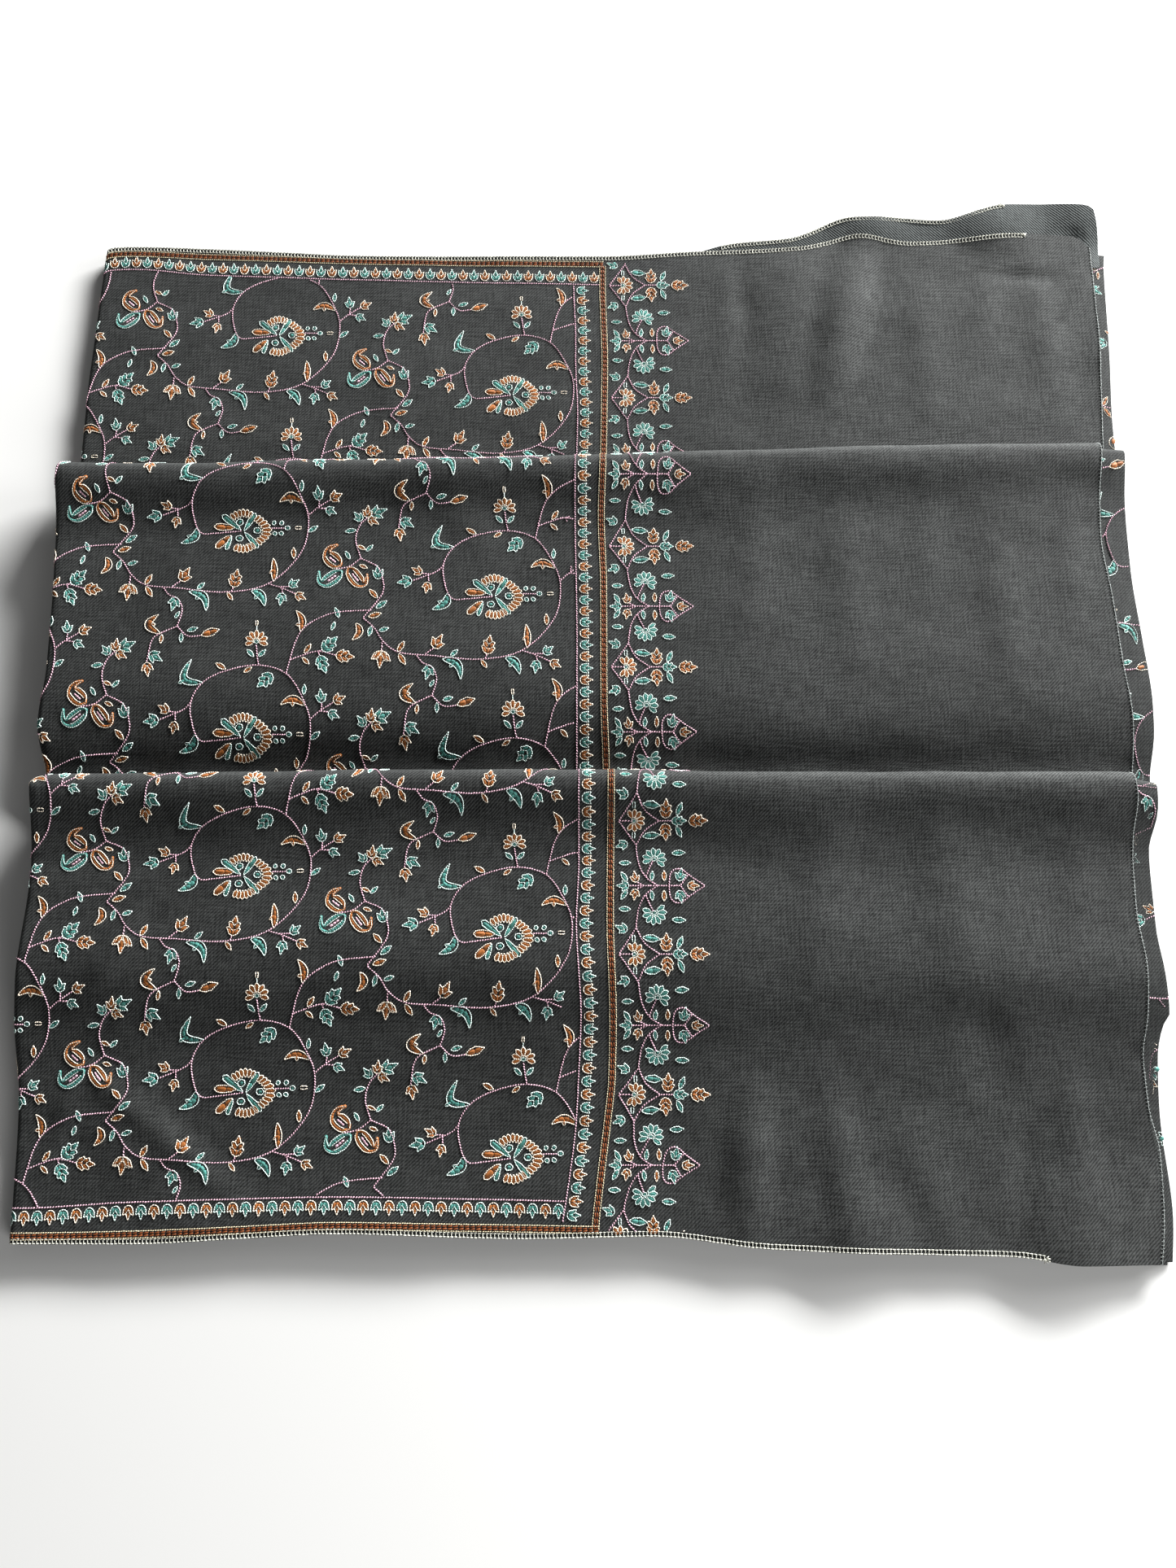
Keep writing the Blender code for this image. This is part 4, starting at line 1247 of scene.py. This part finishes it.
def flower_border(tier):
    """The border of cones and diamonds outside the band, mirrored about the middle of each."""
    stitches = Stitches()
    low, high = tier_span(tier)

    def keep(x, y, *owner):
        return (y > low - 0.5) & (y < high + 1)

    def shift(y):
        return band_x(tier, np.clip(y, low, high))

    axes = BORDER_AXES[tier.name]
    for (first, is_cone), (last, _) in zip(axes[:-1], axes[1:]):
        cone, diamond = (first, last) if is_cone else (last, first)
        side = 1 if diamond > cone else -1
        part = Stitches()
        # What lies on the middle of a cone or a diamond is drawn from one side only.
        left_out = ({0}, {1}) if side == 1 else ()
        for line in BORDER_LINES:
            if {share for _, share in line} not in left_out:
                part.stem(curve([(x, cone + share * (diamond - cone)) for x, share in line]))
        for shape, colour, x, share, length, turn in BORDER_MOTIFS:
            if {share} not in left_out:
                part.motif(shape, colour, x, cone + share * (diamond - cone), length, turn * side)
        for colour, x, share, width, middle, spread in BORDER_FLOWERS:
            if {share} not in left_out:
                angles = middle * side + np.linspace(-spread, spread, 8)
                part.flower(colour, x, cone + share * (diamond - cone), width, angles)
        stitches.add(part, keep=keep, shift=shift)
    return stitches


def ladder(stitches, table, first, last, inward):
    """The cream edging of a hem: two rails, the rungs between them, and the cut tails where it ends."""
    x = np.arange(first, last, 1.0)
    line = np.stack([x, smooth(table, x)], -1)
    rungs = along(line, np.arange(0.5, run(line)[-1], RUNG_STEP))
    up = np.array((0.0, inward))
    stitches.line("ladder", line + up * 0.3, OUTER_RAIL, overlap=0.0)
    stitches.line("ladder", line + up * 2.0, INNER_RAIL, overlap=0.0)
    stitches.lay("ladder", rungs + up * 0.3, rungs + up * 2.2, *RUNG)
    for angle in TAILS:
        end = line[-1] + up + turned(1.6 + angle % 20 / 22, 0, -angle * inward)
        stitches.lay("ladder", line[-1] + up, end, *TAIL)


def edging(tier):
    """The ladder on the hem, and the fine overcast stitches along the cloth's end."""
    stitches = Stitches()
    if tier is BACK:
        ladder(stitches, TOP_HEM, -240.0, 209.0, -1)
    if tier is FRONT:
        ladder(stitches, BOTTOM_HEM, -242.0, 182.0, 1)
    stop = tier.stop(END_X)
    y = np.arange(float(tier.start(END_X)), float(stop) + (HALF_TURN if tier.heights else 0), OVERCAST_STEP)
    end = smooth(tier.end, np.minimum(y, stop))
    stitches.line("grey", np.stack([end - 0.5, y], -1), END_LINE)
    stitches.lay("grey", np.stack([end - 1.5, y], -1), np.stack([end + 0.1, y + 0.4], -1), *OVERCAST)
    return stitches


def stitch_points(rows, place):
    """Eight points for each stitch: its two ends, and a low ridge between them."""
    ahead = rows[:, 2:4] - rows[:, 0:2]
    across = aside(ahead) / np.maximum(np.hypot(*ahead.T), 1e-6)[:, None]
    flat = rows[:, None, 0:2] + ahead[:, None] * STITCH_ALONG[:, None]
    flat = flat + across[:, None] * (rows[:, 4, None] * STITCH_ASIDE)[:, :, None]
    return place(flat[:, :, 0], flat[:, :, 1], rows[:, 5, None] * STITCH_UP - STITCH_SUNK)


def stitch_piece(name, groups, material, seed):
    """One piece from groups of stitches, each with the function that lays it on its cloth.

    Their ends are moved by 0.05 mm as a rule, and their widths by up to 15 per cent.
    """
    random = np.random.default_rng(seed)
    points, shades = [], []
    for rows, place in groups:
        rows = rows.copy()
        rows[:, 0:4] += random.normal(0, 0.05, (len(rows), 4))
        rows[:, 4] *= random.uniform(0.85, 1.15, len(rows))
        points.append(stitch_points(rows, place).reshape(-1, 3))
        shades.append(np.repeat(random.uniform(0, 1, len(rows)), 8))
    points = np.concatenate(points)
    faces = (STITCH_FACES + 8 * np.arange(len(points) // 8)[:, None, None]).reshape(-1, 3)
    return new_piece(name, points, faces, material, shade=np.concatenate(shades))


def colour_setting(name, description, hex_colour):
    """A colour that the user can change."""
    colour = linear(hex_colour)
    return bpy.props.FloatVectorProperty(
        name=name, description=description, default=colour, size=4, min=0.0, max=1.0, subtype="COLOR"
    )


class ShawlSettings(bpy.types.PropertyGroup):
    """Sizes and colours of the shawl that a user would change."""

    cloth_dark: colour_setting("Cloth, shade", "Twill between the ribs", "#0c0d0d")
    cloth_light: colour_setting("Cloth, light", "Twill on the ribs", "#4e504f")
    # Painted shade: the folded layers' ribs are darker than the top cloth's, for the shade between and under
    # the layers.
    cloth_folded: colour_setting("Folded cloth, light", "Ribs of the layers folded under", "#383a39")
    reverse_dark: colour_setting("Reverse, shade", "Wrong side of the twill, between the ribs", "#1a1d1d")
    reverse_light: colour_setting("Reverse, light", "Wrong side of the twill, on the ribs", "#4b504f")
    pink: colour_setting("Vines", "Thread of the vines and the fine lines", "#d9b0bf")
    teal: colour_setting("Teal filling", "Thread that fills the teal leaves", "#427e75")
    mint: colour_setting("Mint outline", "Thread round the teal leaves", "#e0f2ec")
    orange: colour_setting("Orange filling", "Thread that fills the orange leaves", "#8e5320")
    ecru: colour_setting("Cream outline", "Thread round the orange leaves", "#fbefdc")
    rust: colour_setting("Band", "Thread of the double line", "#7a3f16")
    sand: colour_setting("Band's edges", "Thread along the double line", "#ddd0ae")
    ladder: colour_setting("Hem edging", "Thread of the ladder on the hems", "#d0d0c4")
    grey: colour_setting("End edging", "Thread of the overcast stitches", "#8d9290")
    crease_depth: bpy.props.FloatProperty(
        name="Crease depth",
        description="Scale of the soft creases",
        default=1.0,
        min=0.0,
        max=2.0,
        subtype="FACTOR",
    )


class SHAWL_OT_cloth(bpy.types.Operator):
    """Builds the uppermost layer of each tier and the second layer at the back"""

    bl_idname = "shawl.cloth"
    bl_label = "Cloth layers"

    def execute(self, context):
        settings = context.scene.shawl
        face = twill_material("pashmina_twill", settings.cloth_dark, settings.cloth_light)
        for tier in TIERS:
            outer, inner, flat = top_layer(tier, settings.crease_depth)
            piece = shell_piece("cloth_" + tier.name, outer, inner, flat, face, "twill_face")
            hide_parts(tier.name + "_top")
        dark, light = settings.reverse_dark, settings.reverse_light
        reverse = twill_material("pashmina_twill_reverse", dark, light, slant=-1.0)
        piece = shell_piece("cloth_second", *second_layer(), reverse, "twill_reverse")
        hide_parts("back_second")
        return {"FINISHED"}


class SHAWL_OT_folds(bpy.types.Operator):
    """Builds the hidden layers of each tier and the two pleats under them"""

    bl_idname = "shawl.folds"
    bl_label = "Folded layers"

    def execute(self, context):
        settings = context.scene.shawl
        # A darker copy of the twill, as painted shade, for the hidden layers and the pleats.
        face = twill_material("pashmina_twill_folded", settings.cloth_dark, settings.cloth_folded)
        for tier in (MIDDLE, FRONT):
            lattice, flat = pleat_lattice(tier)
            piece = block_piece("pleat_" + tier.name, lattice, flat, face)
            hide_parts(tier.name + "_pleat")
        for tier in TIERS:
            lattice, flat = stack_lattice(tier)
            piece = block_piece("folded_" + tier.name, lattice, flat, face)
            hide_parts(tier.name + "_fold")
        return {"FINISHED"}


class SHAWL_OT_embroidery(bpy.types.Operator):
    """Stitches the trellis, the band, the flower border and the edging, one piece for each thread"""

    bl_idname = "shawl.embroidery"
    bl_label = "Embroidery"

    def execute(self, context):
        settings = context.scene.shawl
        cell = trellis_cell()
        laid = []
        for tier in TIERS:
            stitches = Stitches()
            first = LATTICES[tier.name][0]
            stitches.add(trellis(tier, cell, first, range(-3, 4), range(-2, 4), inside_trellis))
            for part in (band_lines(tier), flower_border(tier), edging(tier)):
                stitches.add(part)
            laid.append((stitches, partial(self.on_top, tier, settings.crease_depth)))
        for tier in TIERS:
            strip = trellis(tier, cell, FOLD_LATTICES[tier.name], range(-2, 3), (0,), on_strip)
            laid.append((strip, partial(self.on_fold, tier)))
        second = Stitches()
        ladder(second, SECOND_HEM, 60.0, 200.0, -1)
        laid.append((second, self.on_second))
        for seed, (thread, slot) in enumerate(THREAD_SLOTS.items()):
            sewn = [(part.rows[thread], place) for part, place in laid if thread in part.rows]
            groups = [(np.concatenate(rows), place) for rows, place in sewn]
            material = thread_material("stranded_thread_" + thread, getattr(settings, thread))
            stitch_piece("stitches_" + thread, groups, material, seed + FIRST_SEED)
        return {"FINISHED"}

    def on_top(self, tier, depth, x, y, up):
        return tier.place(x, y, TOP_OVER + up, depth)

    def on_fold(self, tier, x, y, up):
        return tier.place_folded(x, y, FOLDED_OVER, up)

    def on_second(self, x, y, up):
        return np.stack([x, y, second_height(x, y) + up], -1)


class SHAWL_OT_stage(bpy.types.Operator):
    """Sets up the pale floor, the soft lights and the camera at the photograph's angle"""

    bl_idname = "shawl.stage"
    bl_label = "Floor, lights and camera"

    def execute(self, context):
        scene = context.scene
        mesh = bpy.data.meshes.new("floor")
        sides = ((-1, -1), (1, -1), (1, 1), (-1, 1))
        mesh.from_pydata([(x * FLOOR_HALF, y * FLOOR_HALF, FLOOR_Z) for x, y in sides], [], [(0, 1, 2, 3)])
        # Matt white studio paper: even and pale, without gloss.
        paper = {"Base Color": linear("#f4f4f2"), "Roughness": 0.9}
        mesh.materials.append(new_material("matt_white_paper", paper)[0])
        floor = bpy.data.objects.new("floor", mesh)
        scene.collection.objects.link(floor)
        for name, place, aim, width, height, energy in LAMPS:
            light = bpy.data.lights.new(name, "AREA")
            light.shape = "RECTANGLE"
            light.energy = energy
            light.size = width
            light.size_y = height
            lamp = bpy.data.objects.new(name, light)
            lamp.location = place
            x, y, z = np.array(aim) - np.array(place)
            lamp.rotation_euler = (math.atan2(math.hypot(x, y), -z), 0.0, math.atan2(x, -y) + math.pi)
            scene.collection.objects.link(lamp)
        world = bpy.data.worlds.new("soft_room")
        world.use_nodes = True
        background = world.node_tree.nodes["Background"]
        background.inputs[0].default_value = (1.0, 1.0, 1.0, 1.0)
        background.inputs[1].default_value = ROOM_LIGHT
        scene.world = world
        scene.view_settings.view_transform = "Standard"
        camera = bpy.data.cameras.new("camera")
        camera.sensor_fit = "VERTICAL"
        camera.sensor_height = SENSOR
        camera.lens = LENS
        eye = bpy.data.objects.new("camera", camera)
        eye.location = CAMERA_PLACE
        eye.rotation_euler = (math.radians(CAMERA_TILT), 0.0, 0.0)
        scene.collection.objects.link(eye)
        scene.camera = eye
        return {"FINISHED"}


class SHAWL_PT_panel(bpy.types.Panel):
    bl_idname = "SHAWL_PT_panel"
    bl_label = "Shawl"
    bl_space_type = "VIEW_3D"
    bl_region_type = "UI"
    bl_category = "Shawl"

    def draw(self, context):
        settings = context.scene.shawl
        for name in settings.bl_rna.properties.keys():
            if name not in ("rna_type", "name"):
                self.layout.prop(settings, name)
        for operator in OPERATORS:
            self.layout.operator(operator.bl_idname)


OPERATORS = (SHAWL_OT_cloth, SHAWL_OT_folds, SHAWL_OT_embroidery, SHAWL_OT_stage)
CLASSES = (ShawlSettings,) + OPERATORS + (SHAWL_PT_panel,)


def register():
    for each in CLASSES:
        bpy.utils.register_class(each)
    bpy.types.Scene.shawl = bpy.props.PointerProperty(type=ShawlSettings)


def unregister():
    del bpy.types.Scene.shawl
    for each in reversed(CLASSES):
        bpy.utils.unregister_class(each)


def main():
    register()
    bpy.ops.shawl.folds()
    bpy.ops.shawl.cloth()
    bpy.ops.shawl.embroidery()
    bpy.ops.shawl.stage()


if __name__ == "__main__":
    main()
